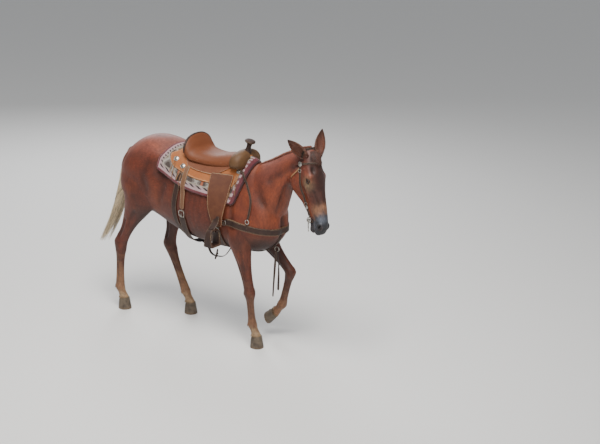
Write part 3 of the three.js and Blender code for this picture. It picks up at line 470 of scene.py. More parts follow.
def headRings(table, widest, square, steps=6, sides=56):
    rings = []
    for row in fineRows(table, steps):
        u, top, low, half = row[:4]
        ring = outlineRing((u, top), (u, low), 0, half, row[4] if len(row) > 4 else widest, square, square)
        rings.append(ringAt(ring, turns(sides))[:, [0, 1, 2]] @ toHead[:3, :3].T + toHead[:3, 3])
    return rings


def legRows(leg):
    joints = np.array(leg["joints"], float)
    bones = joints[1:] - joints[:-1]
    rows = []
    for bone, t, front, rear, half in leg["sections"]:
        near = min(bone + 1, len(bones) - 1) if t > 0.5 else max(bone - 1, 0)
        share = max(0, abs(t - 0.5) * 2 - 0.6) / 0.8
        along = unit(lerp(unit(bones[bone]), unit(bones[near]), share))
        centre = joints[bone] + bones[bone] * t
        forward = unit(np.cross(along, [0, 1, 0]))
        rows.append([*centre, *(forward * front), *(forward * -rear), half])
    return rows


def legRings(leg, steps=5, sides=40):
    return [ringAt((row[:3], row[3:6], row[6:9], np.array([0, row[9], 0]), 2.0, 2.0), turns(sides))
            for row in fineRows(legRows(leg), steps)]


# a ball in the head's frame
def headBall(name, place, halves, nod=0, sides=24):
    u, v, y = place
    angles = turns(sides)
    rings = []
    for k in range(1, sides // 2):
        polar = math.pi * k / (sides // 2)
        ring = np.stack([np.full(sides, math.cos(polar)), math.sin(polar) * np.cos(angles),
                         math.sin(polar) * np.sin(angles)], -1)
        ring = ring * [halves[0], halves[2], halves[1]]
        c, s = math.cos(rad(nod)), math.sin(rad(nod))
        ring = np.stack([c * ring[:, 0] + s * ring[:, 2], ring[:, 1], -s * ring[:, 0] + c * ring[:, 2]], -1)
        rings.append((ring + [u, y, v]) @ toHead[:3, :3].T + toHead[:3, 3])
    return loft(name, rings)


def smoothed(obj, times, factor=0.5, group=None):
    values = {"iterations": times, "factor": factor}
    if group:
        values["vertex_group"] = group
    addModifier(obj, "SMOOTH", **values)
    return applyAll(obj)


def weigh(obj, name, weights):
    group = obj.vertex_groups.new(name=name)
    levels = np.round(np.clip(weights, 0, 1) * 20).astype(int)
    for level in range(1, 21):
        members = np.nonzero(levels == level)[0]
        if len(members):
            group.add(members.tolist(), level / 20, "REPLACE")
    return group


# colours: sRGB from 0 to 255, made linear
def linear(colour):
    c = np.asarray(colour, float) / 255
    return np.where(c <= 0.04045, c / 12.92, ((c + 0.055) / 1.055) ** 2.4)


def rgba(colour):
    return (*linear(colour).tolist(), 1.0)


# top is a painted highlight for the sheen on the upward-facing back, the pink entry a painted sheen on the
# brow, the slate entry a painted sheen on the muzzle; shade is painted shade, and dark serves both as darker
# hair and as painted shade
coatColours = {
    "red": (88, 37, 21), "orange": (124, 58, 28), "top": (122, 70, 58), "dark": (38, 20, 14),
    "shade": (26, 15, 12), "tan": (128, 92, 64), "pale": (162, 138, 104), "knee": (64, 34, 22),
    "ring": (132, 92, 66), "muzzle": (36, 35, 38), "eyeRing": (122, 100, 72), "face": (60, 29, 20),
    "earEdge": (30, 19, 15), "earIn": (112, 68, 52), "sheenPink": (132, 80, 64), "sheenSlate": (92, 97, 108),
}
ink = {name: linear(value) for name, value in coatColours.items()}


def toned(dark, light, share):
    return linear(dark) * (1 - share) + linear(light) * share


# smooth random values from -1 to 1 that vary over some millimetres
def bumpy(places, size, seed):
    rng = np.random.default_rng(seed)
    total = np.zeros(len(places))
    for _ in range(7):
        wave = unit(rng.normal(size=3)) * rng.uniform(0.6, 1.5) * 2 * math.pi / size
        total += np.sin(places @ wave + rng.uniform(0, 6.28))
    return np.clip(total / 3.2, -1, 1)


# painted shade on the legs, chest and stifle: x, z, width, height, share
shadePatches = [
    (-560, 1010, 70, 150, 0.5), (490, 690, 70, 150, 0.4), (700, 650, 60, 110, 0.35), (660, 860, 90, 90, 0.5),
    (-470, 930, 60, 110, 0.3),
]


# colour of the coat, painted highlights and shade included, at places in millimetres of the mule, with the
# way out of the skin
def coatColour(places, out):
    x, y, z = places.T
    tone = np.tile(ink["red"], (len(places), 1))

    def paint(name, share):
        nonlocal tone
        share = np.clip(share, 0, 1)[:, None]
        tone = tone * (1 - share) + ink[name] * share

    rough = bumpy(places, 260, 3) * 0.5 + bumpy(places, 90, 4) * 0.3
    # painted highlight: the top of the back, croup and neck lighter where the coat faces up
    paint("top", smooth01(z, 1330, 1500) * smooth01(out[:, 2], 0.1, 0.9) * 0.8)
    paint("orange", 0.55 * smooth01(rough, 0.0, 0.7))
    paint("dark", 0.35 * smooth01(-rough, 0.1, 0.8))
    # painted highlight: the lit back edge of the thighs
    paint("orange", 0.75 * smooth01(-x, 660, 790) * smooth01(z, 700, 1000))  # back of the thighs
    # painted highlight along the fold of the flank
    paint("orange", 0.6 * np.exp(-((x + 350) / 60) ** 2 - ((z - 1060) / 170) ** 2))  # fold of the flank
    paint("orange", 0.5 * smooth01(x, 560, 720) * (1 - smooth01(z, 1250, 1420)) * smooth01(z, 930, 1080))
    # painted shade: the underside of the belly darker where it faces down
    belly = smooth01(-out[:, 2], 0.15, 0.75) * (1 - smooth01(z, 880, 1010)) * smooth01(z, 620, 700)
    paint("dark", 0.85 * belly)
    for atX, atZ, wide, high, share in shadePatches:
        paint("dark", share * np.exp(-((x - atX) / wide) ** 2 - ((z - atZ) / high) ** 2))
    inside = smooth01(-out[:, 1] * np.sign(y), 0.1, 0.7) * (1 - smooth01(z, 1000, 1150))
    paint("shade", 0.6 * (inside * smooth01(z, 480, 640)))
    # painted shade behind the elbow
    paint("dark", 0.7 * np.exp(-((x - 470) / 90) ** 2 - ((z - 850) / 90) ** 2))
    lower = 1 - smooth01(z + 80 * bumpy(places, 120, 5), 430, 760)
    paint("knee", 0.75 * lower)
    cannon = 1 - smooth01(z + 70 * bumpy(places, 90, 6), 230, 520)
    paint("tan", 0.8 * cannon * (0.6 + 0.4 * smooth01(-x, -200, 300)))
    paint("pale", 0.7 * (1 - smooth01(z + 30 * bumpy(places, 50, 7), 70, 220)))
    lifted = np.exp(-((x - 640) / 130) ** 2 - ((y - 140) / 70) ** 2 - ((z - 250) / 110) ** 2)
    paint("tan", 0.6 * lifted)

    # the head
    u, v, w = inHead(places).T
    on = smooth01(x, 880, 960) * smooth01(u, -20, 60) * smooth01(z, 1000, 1020)
    side = np.abs(w)
    paint("face", on * 0.9 * smooth01(v, -90, -10) * (1 - smooth01(side, 60, 104)))
    paint("face", on * 0.75 * smooth01(u, 230, 300) * smooth01(v, -140, -60))
    paint("dark", on * 0.5 * smooth01(v, -30, 6) * (1 - smooth01(side, 20, 60)) * smooth01(u, 60, 200))
    paint("orange", on * 0.3 * np.exp(-((u - 190) / 70) ** 2 - ((v + 190) / 70) ** 2))
    # painted shade in the hollow above the eye
    hollow = np.exp(-((u - 152) / 26) ** 2 - ((v - 2) / 26) ** 2 - ((side - 66) / 20) ** 2)
    paint("dark", on * 0.75 * hollow)
    # painted highlight: a pink sheen on the brow above the eye
    corner = np.exp(-((u - 192) / 17) ** 2 - ((v + 22) / 30) ** 2)
    paint("sheenPink", on * 0.7 * corner * smooth01(side, 60, 84))
    ring = np.hypot((u - 252 - 6 * bumpy(places, 50, 12)) / 64, (v + 62) / 50)
    paint("eyeRing", on * 0.85 * np.exp(-ring ** 2 * 1.5) * smooth01(side, 44, 74))
    lid = np.hypot((u - eyePlace[0]) / 27, (v - eyePlace[1]) / 17)
    paint("shade", on * 0.85 * (1 - smooth01(lid, 0.8, 1.15)) * smooth01(side, 70, 84))
    paint("ring", on * 0.8 * smooth01(u, 400, 490) * smooth01(v, -150, -60))
    paint("muzzle", on * smooth01(u + 18 * bumpy(places, 46, 8) + 0.16 * (v + 60), 492, 566))
    # painted highlight: a blue-grey sheen on the top of the muzzle and a fainter one lower down
    paint("sheenSlate", on * 0.75 * np.exp(-((u - 566) / 40) ** 2 - ((v + 34) / 34) ** 2))
    paint("sheenSlate", on * 0.35 * np.exp(-((u - 600) / 40) ** 2 - ((v + 110) / 26) ** 2))
    rim = np.hypot((u - 628) / 27, (v + 60) / 18)
    paint("shade", on * 0.95 * (1 - smooth01(rim, 0.7, 1.25)) * smooth01(side, 34, 44))
    paint("shade", on * 0.7 * np.exp(-((v + 131) / 5) ** 2) * smooth01(u, 540, 560))
    paint("shade", on * 0.5 * smooth01(-v, 190, 260) * smooth01(u, 90, 140))
    return np.clip(tone * (1 + 0.12 * bumpy(places, 34, 9)[:, None]), 0, 1)


def paintPoints(obj, name, colours):
    layers = obj.data.color_attributes
    layer = layers.get(name) or layers.new(name, "FLOAT_COLOR", "POINT")
    values = np.concatenate([colours, np.ones((len(colours), 1))], 1)
    layer.data.foreach_set("color", values.astype(np.float32).ravel())


def pointValue(obj, name, values):
    layer = obj.data.attributes.get(name) or obj.data.attributes.new(name, "FLOAT", "POINT")
    layer.data.foreach_set("value", np.asarray(values, np.float32).ravel())


# nodes of a material or group, placed and linked in few words
class Nodes:
    def __init__(self, tree):
        self.tree = tree
        self.count = 0

    def add(self, kind, *links, **values):
        node = self.tree.nodes.new("ShaderNode" + kind)
        self.count += 1
        node.location = (220 * (self.count % 8) - 900, -260 * (self.count // 8))
        for key, value in values.items():
            if key.startswith("in_"):
                node.inputs[key[3:].replace("_", " ")].default_value = value
            else:
                setattr(node, key, value)
        for target, source in links:
            self.tree.links.new(source, node.inputs[target])
        return node

    def feed(self, shader, socket, source):
        self.tree.links.new(source, shader.inputs[socket])

    def attribute(self, name, output="Fac"):
        return self.add("Attribute", attribute_name=name).outputs[output]

    def math(self, kind, a, b=0.0):
        node = self.add("Math", operation=kind)
        for i, value in enumerate((a, b)):
            if isinstance(value, (int, float)):
                node.inputs[i].default_value = value
            else:
                self.tree.links.new(value, node.inputs[i])
        return node.outputs[0]

    def plus(self, a, b):
        return self.math("ADD", a, b)

    def minus(self, a, b):
        return self.math("SUBTRACT", a, b)

    def times(self, a, b):
        return self.math("MULTIPLY", a, b)

    def over(self, a, b):
        return self.math("DIVIDE", a, b)

    def below(self, a, b):
        return self.math("LESS_THAN", a, b)

    def size(self, a):
        return self.math("ABSOLUTE", a)

    def mix(self, share, a, b, kind="MIX"):
        node = self.add("Mix", data_type="RGBA", blend_type=kind)
        for i, value in ((0, share), (6, a), (7, b)):
            if isinstance(value, (int, float, tuple)):
                node.inputs[i].default_value = value
            else:
                self.tree.links.new(value, node.inputs[i])
        return node.outputs[2]

    def ramp(self, value, *stops):
        node = self.add("ValToRGB")
        self.tree.links.new(value, node.inputs[0])
        elements = node.color_ramp.elements
        while len(elements) < len(stops):
            elements.new(0.5)
        for element, (place, colour) in zip(elements, stops):
            element.position = place
            element.color = colour if isinstance(colour, tuple) else (colour, colour, colour, 1)
        return node.outputs[0]

    def stretched(self, scale, source="Object"):
        coordinates = self.add("TexCoord").outputs[source]
        return self.add("Mapping", ("Vector", coordinates), in_Scale=scale).outputs[0]

    def noise(self, vector, scale, detail=3.0, rough=0.55):
        return self.add("TexNoise", ("Vector", vector), in_Scale=scale, in_Detail=detail,
                        in_Roughness=rough).outputs[0]


def newGroup(name, inputs, outputs):
    tree = bpy.data.node_groups.new(name, "ShaderNodeTree")
    for label, kind, value in inputs:
        socket = tree.interface.new_socket(label, in_out="INPUT", socket_type="NodeSocket" + kind)
        socket.default_value = value
    for label, kind in outputs:
        tree.interface.new_socket(label, in_out="OUTPUT", socket_type="NodeSocket" + kind)
    nodes = Nodes(tree)
    start = tree.nodes.new("NodeGroupInput")
    end = tree.nodes.new("NodeGroupOutput")
    end.location = (900, 0)
    start.location = (-1200, 0)
    return tree, nodes, start.outputs, end.inputs


# fine hair over a ground colour: streaks along the lie of the coat
def furGroup():
    tree, n, given, out = newGroup("fur", [("Tone", "Color", (0.5, 0.2, 0.1, 1)), ("Lie", "Float", 0.0)],
                                   [("Colour", "Color"), ("Roughness", "Float"), ("Height", "Float")])
    down = n.noise(n.stretched((1, 1, 0.12)), 260.0, 2.0)
    back = n.noise(n.stretched((0.12, 1, 1)), 260.0, 2.0)
    streak = n.mix(given["Lie"], down, back)
    clump = n.noise(n.stretched((1, 1, 0.35)), 46.0, 3.0)
    broad = n.noise(n.stretched((1, 1, 1)), 9.0, 2.0)
    light = n.ramp(streak, (0.3, 0.66), (0.7, 1.3))
    patch = n.ramp(clump, (0.3, 0.86), (0.7, 1.14))
    both = n.mix(1.0, light, patch, "MULTIPLY")
    tree.links.new(n.mix(1.0, given["Tone"], both, "MULTIPLY"), out["Colour"])
    tree.links.new(n.math("MULTIPLY_ADD", broad, 0.22), out["Roughness"])
    height = n.plus(n.times(streak, 0.6), n.times(clump, 0.8))
    tree.links.new(height, out["Height"])
    for node in tree.nodes:
        if node.bl_idname == "ShaderNodeMath" and node.operation == "MULTIPLY_ADD":
            node.inputs[2].default_value = 0.48
    return tree


def newMaterial(name, **shaderValues):
    paint = bpy.data.materials.new(name)
    paint.use_nodes = True
    shader = paint.node_tree.nodes["Principled BSDF"]
    for key, value in shaderValues.items():
        shader.inputs[key.replace("_", " ")].default_value = value
    return paint, Nodes(paint.node_tree), shader


def useGroup(n, group, **values):
    node = n.tree.nodes.new("ShaderNodeGroup")
    node.node_tree = group
    node.location = (-300, 200)
    for key, value in values.items():
        if isinstance(value, bpy.types.NodeSocket):
            n.tree.links.new(value, node.inputs[key])
        else:
            node.inputs[key].default_value = value
    return node


def bumpFrom(n, shader, height, strength=0.4, distance=0.002):
    node = n.add("Bump", ("Height", height), in_Strength=strength, in_Distance=distance)
    n.feed(shader, "Normal", node.outputs[0])


def coatMaterial():
    paint, n, shader = newMaterial("short_coat", Sheen_Weight=0.1, Sheen_Roughness=0.35,
                                   Specular_IOR_Level=0.45)
    shader.inputs["Sheen Tint"].default_value = (1, 0.86, 0.84, 1)
    tone = n.attribute("tone", "Color")
    lie = n.attribute("lie")
    fur = useGroup(n, furShader, Tone=tone, Lie=lie)
    n.feed(shader, "Base Color", fur.outputs["Colour"])
    n.feed(shader, "Roughness", fur.outputs["Roughness"])
    bumpFrom(n, shader, fur.outputs["Height"], 0.45, 0.003)
    return paint


def hairMaterial():
    paint, n, shader = newMaterial("long_hair", Roughness=0.5, Sheen_Weight=0.1, Specular_IOR_Level=0.4)
    tone = n.attribute("tone", "Color")
    streak = n.noise(n.stretched((1, 1, 0.1)), 320.0, 2.0)
    light = n.ramp(streak, (0.3, 0.8), (0.7, 1.15))
    n.feed(shader, "Base Color", n.mix(1.0, tone, light, "MULTIPLY"))
    bumpFrom(n, shader, streak, 0.3, 0.001)
    return paint


furShader = furGroup()
coatPaint = coatMaterial()
hairPaint = hairMaterial()
print("stage: coat materials made")


# skin: one closed mesh from the poll to the coronets
skin = {"voxel": 0.0042, "faces": 178000}
bosses = [  # place, half sizes, nod: brow, cheek, eyeball, nostril
    ((204, -26, 76), (50, 22, 24), 8),
    ((196, -150, 44), (142, 116, 37), -14),
    (eyePlace, (31, 25, 26), 12),
    ((622, -58, 40), (36, 25, 17), 30),
]
eyeRadius = 21
eyeNod = -28  # turn of the opening between the lids
nostril = {"place": (626, -60, 58), "hole": (26, 13, 26), "rim": (25, 12.5), "turn": 54}
sides = (-1, 1)
flanks = {"right": -1, "left": 1}


def sided(place, sign):
    return place[0], place[1], place[2] * sign


def difference(obj, cutter):
    addModifier(obj, "BOOLEAN", operation="DIFFERENCE", solver="MANIFOLD", object=cutter)
    applyAll(obj)
    bpy.data.objects.remove(cutter)
    return obj


def unite(obj, others):
    for other in others:
        addModifier(obj, "BOOLEAN", operation="UNION", solver="MANIFOLD", object=other)
    applyAll(obj)
    for other in others:
        bpy.data.objects.remove(other)
    return obj


def castHead():
    face = fixNormals(loft("face", headRings(faceTable, 0.5, 2.1)))
    jaw = fixNormals(loft("jaw", headRings(jawTable, 0.5, 2.2)))
    balls = [fixNormals(headBall("boss", sided(place, sign), halves, nod))
             for place, halves, nod in bosses for sign in sides]
    head = unite(face, [jaw, *balls])
    cutters = []
    for sign in sides:
        cutters.append(headBall("socket", sided(eyePlace, sign), (eyeRadius + 1,) * 3))
        slit = (eyePlace[0], eyePlace[1], (eyePlace[2] + 26) * sign)
        cutters.append(headBall("slit", slit, (23, 17, 22), eyeNod))
        cutters.append(headBall("nostril", sided(nostril["place"], sign), nostril["hole"], nostril["turn"]))
    for cutter in cutters:
        difference(head, fixNormals(cutter))
    return head


def buildSkin():
    parts = [
        loft("torso", torsoRings()),
        loft("neck", neckRings()),
    ]
    for leg in legs.values():
        parts.append(loft("leg", legRings(leg)))
    for part in parts:
        fixNormals(part)
    whole = join("skin", [castHead(), *parts])
    addModifier(whole, "REMESH", mode="VOXEL", voxel_size=skin["voxel"], use_smooth_shade=True)
    applyAll(whole)
    print("stage: skin cast,", len(whole.data.vertices), "points")
    return whole


# how far each place is from a broken line, and how far along the line that is
def nearLine(places, line):
    line = np.asarray(line, float)
    best = np.full(len(places), 1e9)
    along = np.zeros(len(places))
    total = np.linalg.norm(np.diff(line, axis=0), axis=1)
    whole = total.sum()
    start = 0.0
    for a, b, length in zip(line, line[1:], total):
        t = np.clip((places - a) @ (b - a) / max(length ** 2, 1e-9), 0, 1)
        far = np.linalg.norm(places - (a + t[:, None] * (b - a)), axis=1)
        closer = far < best
        best[closer] = far[closer]
        along[closer] = (start + t[closer] * length) / whole
        start += length
    return best, along


def ends(along):
    return smooth01(along, 0, 0.22) * smooth01(1 - along, 0, 0.22)


# hollows are cut deeper than drawn, swellings keep inside the solids
def deeper(amount):
    return amount * (1.5 if amount < 0 else 0.8)


# swellings and creases set in millimetres of the mule, that move a mesh along its normals
class Sculpt:
    def __init__(self, obj):
        self.obj = obj
        self.co = millimetres(obj)
        self.out = normals(obj)
        self.move = np.zeros(len(self.co))

    def swell(self, place, size, amount, both=True):
        for sign in (sides if both else (1,)):
            offset = (self.co - np.array([place[0], place[1] * sign, place[2]])) / np.asarray(size, float)
            self.move += deeper(amount) * np.exp(-(offset ** 2).sum(1))

    def line(self, route, width, amount, both=True, taper=True):
        for sign in (sides if both else (1,)):
            path = np.array(route, float) * [1, sign, 1]
            low, high = path.min(0) - width * 3, path.max(0) + width * 3
            near = np.nonzero(((self.co > low) & (self.co < high)).all(1))[0]
            if not len(near):
                continue
            far, along = nearLine(self.co[near], path)
            self.move[near] += deeper(amount) * np.exp(-(far / width) ** 2) * (ends(along) if taper else 1)

    def headLine(self, route, width, amount, both=True, taper=True):
        for sign in (sides if both else (1,)):
            path = headPoints([sided(p, sign) for p in route])
            self.line(path, width, amount, both=False, taper=taper)

    def headSwell(self, place, size, amount):
        local = inHead(self.co)
        for sign in sides:
            offset = (local - np.array(sided(place, sign))) / np.asarray(size, float)
            self.move += amount * np.exp(-(offset ** 2).sum(1))

    def done(self):
        self.co = self.co + self.out * self.move[:, None]
        setPoints(self.obj, metres(self.co))
        self.out = normals(self.obj)
        self.move = np.zeros(len(self.co))


# a place on a leg: bone, share along it, towards its front, towards the mule's left
def legSpot(leg, bone, t, ahead, aside):
    joints = np.array(leg["joints"], float)
    along = joints[bone + 1] - joints[bone]
    forward = unit(np.cross(unit(along), [0, 1, 0]))
    return joints[bone] + along * t + forward * ahead + np.array([0, aside, 0])


def sculptTrunk(clay):
    clay.swell((650, 152, 1080), (60, 50, 62), 12)  # point of the shoulder
    clay.swell((500, 205, 1010), (88, 60, 100), 12)  # triceps
    clay.line([(430, 150, 1400), (520, 178, 1260), (640, 168, 1110)], 26, 7)  # ridge of the shoulder blade
    clay.line([(560, 150, 1400), (625, 160, 1280), (680, 140, 1160)], 26, -8)  # hollow ahead of it
    clay.line([(392, 214, 1230), (408, 224, 1080), (420, 214, 930)], 22, -8)  # behind the triceps
    clay.swell((728, 62, 985), (52, 50, 90), 15)  # breast
    clay.line([(748, 0, 1110), (750, 0, 980), (724, 0, 880)], 20, -16, both=False)
    clay.swell((440, 175, 830), (70, 50, 60), 8)  # elbow
    clay.line([(812, 58, 1390), (772, 70, 1240), (722, 76, 1110)], 15, -9)  # jugular groove
    clay.line([(880, 66, 1480), (770, 96, 1330), (660, 128, 1180)], 30, 6)
    clay.line([(900, 58, 1560), (790, 84, 1470), (640, 118, 1350)], 26, -6)
    clay.line([(860, 52, 1620), (760, 70, 1560), (650, 82, 1490)], 26, 6)  # crest
    for k in range(9):  # ribs
        x = 214 - 47 * k
        clay.line([(x + 8, 232, 1270), (x, 268, 1120), (x + 4, 262, 960), (x + 22, 210, 835)], 13, -1.7)
    clay.swell((-298, 236, 1318), (60, 70, 74), -16)  # hollow of the flank
    clay.line([(-236, 244, 1240), (-290, 248, 1100), (-330, 238, 960)], 26, -6)
    clay.swell((-372, 212, 1440), (60, 52, 40), 11)  # point of the hip
    clay.swell((-520, 130, 1530), (130, 70, 60), 8)  # rump
    clay.swell((-640, 205, 1330), (110, 60, 130), 8)
    clay.line([(-400, 206, 1420), (-470, 246, 1250), (-430, 236, 1060)], 30, -7)
    clay.line([(-690, 168, 1440), (-726, 172, 1300), (-700, 158, 1120), (-668, 150, 990)], 20, -8)
    clay.line([(-760, 0, 1380), (-800, 0, 1250), (-780, 0, 1080)], 22, -18, both=False)
    clay.line([(430, 0, 1502), (100, 0, 1446), (-200, 0, 1512), (-600, 0, 1520)], 16, 3, both=False)
    clay.line([(450, 178, 838), (250, 196, 812), (0, 206, 812), (-140, 196, 830)], 7, 2.6)  # vein


def sculptLegs(clay):
    for name, leg in legs.items():
        s = 1 if "left" in name else -1
        spot = lambda bone, t, ahead, aside: legSpot(leg, bone, t, ahead, aside * s)
        line = lambda route, width, amount: clay.line([spot(*p) for p in route], width, amount, both=False)
        ball = lambda place, size, amount: clay.swell(spot(*place), (size,) * 3, amount, both=False)
        if "front" in name:
            ball((0, 0.36, 20, 48), 44, 8)
            line([(0, 0.15, 34, 62), (0, 0.45, 22, 50), (0, 0.8, 8, 40)], 11, -6)
            line([(0, 0.3, -34, 52), (0, 0.6, -24, 40), (0, 0.85, -20, 36)], 10, -6)
            line([(0, 0.3, -34, -48), (0, 0.6, -24, -40), (0, 0.85, -20, -36)], 10, -5)
            for aside in (-34, 34):
                ball((0, 0.97, 18, aside), 17, 5)
                ball((1, 0.09, 12, aside), 17, 4)
                line([(1, 0.2, -9, aside * 0.8), (1, 0.5, -8, aside * 0.76),
                      (1, 0.86, -9, aside * 0.8)], 7, -5.5)
            ball((1, 0.02, -46, 6), 17, 9)
            line([(0, 0.93, 46, -20), (0, 0.93, 46, 20)], 9, 3)
            bone = 1
        else:
            line([(1, 0.4, -38, 44), (1, 0.66, -34, 36), (1, 0.9, -34, 30)], 15, -12)
            line([(1, 0.4, -38, -44), (1, 0.66, -34, -36), (1, 0.9, -34, -30)], 15, -12)
            line([(1, 0.1, 40, 80), (1, 0.35, 22, 58), (1, 0.62, 12, 40)], 16, -6)
            ball((1, 0.12, -30, 74), 60, 7)
            ball((1, 0.98, -58, 0), 21, 8)
            for aside in (-36, 36):
                ball((2, 0.02, 14, aside), 20, 5)
                ball((2, 0.13, -6, aside * 0.9), 18, 4)
                line([(2, 0.3, -10, aside * 0.8), (2, 0.55, -9, aside * 0.74),
                      (2, 0.86, -9, aside * 0.8)], 7, -6)
            bone = 2
        ball((bone, 1.0, -40, 0), 17, 6)
        for aside in (-30, 30):
            ball((bone, 0.98, -18, aside), 14, 5)
            line([(bone + 1, 0.2, -14, aside), (bone + 1, 0.75, -12, aside)], 7, -4)
        line([(bone + 1, 0.86, 34, -34), (bone + 1, 0.86, 38, 0), (bone + 1, 0.86, 34, 34)], 7, 3)


def sculptHead(clay):
    clay.headSwell((150, 4, 64), (32, 26, 17), -15)  # hollow above the eye
    clay.headLine([(176, -26, 98), (198, -12, 98), (232, -10, 96), (262, -26, 92)], 8, 6)  # brow
    clay.headLine([(110, -60, 86), (160, -62, 98), (196, -56, 104)], 10, 6)  # arch behind the eye
    clay.headLine([(250, -92, 92), (320, -96, 80), (400, -94, 64)], 9, 6)  # crest of the cheek
    clay.headLine([(250, -122, 86), (330, -124, 68), (410, -118, 54)], 14, -6)
    clay.headLine([(290, -34, 78), (380, -30, 60), (480, -34, 46)], 13, -5)  # side of the nose bone
    clay.headLine([(300, 6, 26), (400, 4, 22), (520, 0, 16)], 10, 3)
    clay.headLine([(96, -110, 72), (86, -170, 68), (96, -232, 60)], 13, -7)  # behind the cheek
    clay.headSwell((180, -190, 74), (70, 60, 24), 6)
    clay.headLine([(206, -74, 104), (232, -82, 104), (258, -74, 98)], 5, -3.4)  # fold below the eye
    clay.headLine([(300, -150, 62), (350, -110, 74), (420, -84, 56)], 4.5, 2.2)  # vein of the face
    clay.headLine([(352, -108, 74), (330, -70, 78), (300, -46, 84)], 4.5, 1.8)
    mouth = [(546, -128, 50), (590, -133, 52), (634, -130, 48), (668, -117, 30), (680, -108, 0)]
    clay.headLine(mouth, 4.2, -6, taper=False)
    clay.headLine([(560, -116, 52), (600, -118, 54), (650, -108, 44)], 11, 4)  # upper lip
    clay.headLine([(580, -152, 40), (625, -152, 38)], 11, 3)
    clay.headSwell((632, -172, 0), (26, 20, 26), 7)  # chin
    clay.headLine([(604, -40, 50), (634, -34, 46), (654, -58, 46), (640, -84, 50)], 7, 5)  # nostril's rim
    clay.headLine([(572, -64, 50), (594, -90, 52), (626, -98, 50)], 7, -3.5)
    clay.headLine([(530, -128, 50), (520, -112, 50)], 5, -2.5)
    clay.headLine([(420, -190, 0), (300, -262, 0), (170, -280, 0)], 20, -12)  # between the jaws


# softens the joins, then sculpts the forms
def flesh(obj):
    smoothed(obj, 5)
    co = millimetres(obj)
    head = inHead(co)
    onHead = smooth01(head[:, 0], -10, 50) * (co[:, 0] > 860)
    lower = 1 - smooth01(co[:, 2], 560, 860)
    weigh(obj, "broad", (1 - onHead) * (1 - lower))
    smoothed(obj, 40, 0.5, "broad")
    weigh(obj, "legs", lower)
    smoothed(obj, 6, 0.5, "legs")
    clay = Sculpt(obj)
    sculptTrunk(clay)
    clay.done()
    sculptLegs(clay)
    clay.done()
    sculptHead(clay)
    clay.done()
    smoothed(obj, 2)
    return onHead


# fewer faces on the body than on the head
def thinOut(obj):
    co = millimetres(obj)
    head = inHead(co)
    fine = smooth01(head[:, 0], -60, 0) * (co[:, 0] > 840)
    lower = 1 - smooth01(co[:, 2], 500, 700)
    weigh(obj, "fine", np.clip(1 - 0.85 * fine - 0.45 * lower, 0.02, 1))
    faces = len(obj.data.polygons) * 2
    addModifier(obj, "DECIMATE", ratio=min(1, skin["faces"] / faces), vertex_group="fine",
                vertex_group_factor=1.0)
    applyAll(obj)
    print("stage: skin thinned to", len(obj.data.polygons), "faces")


# ears: rolled leaves whose foot is sunk in the head
ears = {
    "right": {"root": (34, -46, -58), "lean": (-104, -122, 150), "open": (0.5, -0.75, -0.3)},
    "left": {"root": (34, -16, 58), "lean": (-4, 48, 222), "open": (0.8, -0.55, 0)},
}
earShape = {"length": 212, "half": 44, "depth": 0.75, "wall": 5}
earTable = [
    [-0.12, 0.5, 300], [0, 0.64, 300], [0.14, 0.84, 262], [0.32, 1, 214],
    [0.52, 0.98, 186], [0.7, 0.78, 170], [0.87, 0.44, 160], [1, 0.06, 150],
]


def earAxes(ear):
    foot = headPoint(*ear["root"])
    axis = unit(ear["lean"])
    front = np.array(ear["open"], float)
    front = unit(front - axis * (front @ axis))
    return foot, axis, front, np.cross(axis, front)


# a place on an ear: share along it, turn from its back in shares of the wrap, depth in the wall
def earPlace(ear, t, turn, inside=0.0):
    foot, axis, front, side = earAxes(ear)
    row = rowAt(earTable, t)
    half = earShape["half"] * row[1] - inside
    angle = rad(row[2] / 2) * turn
    return foot + axis * t * earShape["length"] + side * math.sin(angle) * half - front * (
        math.cos(angle) * half * earShape["depth"])


def makeEar(name, ear):
    foot, axis, front, side = earAxes(ear)
    steps = 26
    rings = []
    for t, width, wrap in fineRows(earTable, 8):
        half = earShape["half"] * width
        centre = foot + axis * t * earShape["length"]
        turn = np.linspace(-1, 1, steps + 1)
        angle = rad(wrap / 2) * turn

        def arc(radius):
            return (centre + np.outer(np.sin(angle) * radius, side)
                    - np.outer(np.cos(angle) * radius * earShape["depth"], front))

        wall = np.minimum(earShape["wall"] * (0.25 + 0.75 * (1 - turn ** 4)), half * 0.4)
        outer = arc(np.full(steps + 1, half))
        inner = arc(half - wall)
        rings.append(np.concatenate([outer, inner[::-1]]))
    return fixNormals(loft(name, rings))


body = buildSkin()
onHead = flesh(body)
thinOut(body)
body = join("skin", [body, *[makeEar("ear", ear) for ear in ears.values()]])
body.vertex_groups.clear()
shadeSmooth(body)
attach(body, "root")
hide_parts("torso", "neck", "head", "ear_right", "ear_left", "leg_front_right", "leg_front_left",
            "leg_hind_right", "leg_hind_left")
print("stage: skin done")


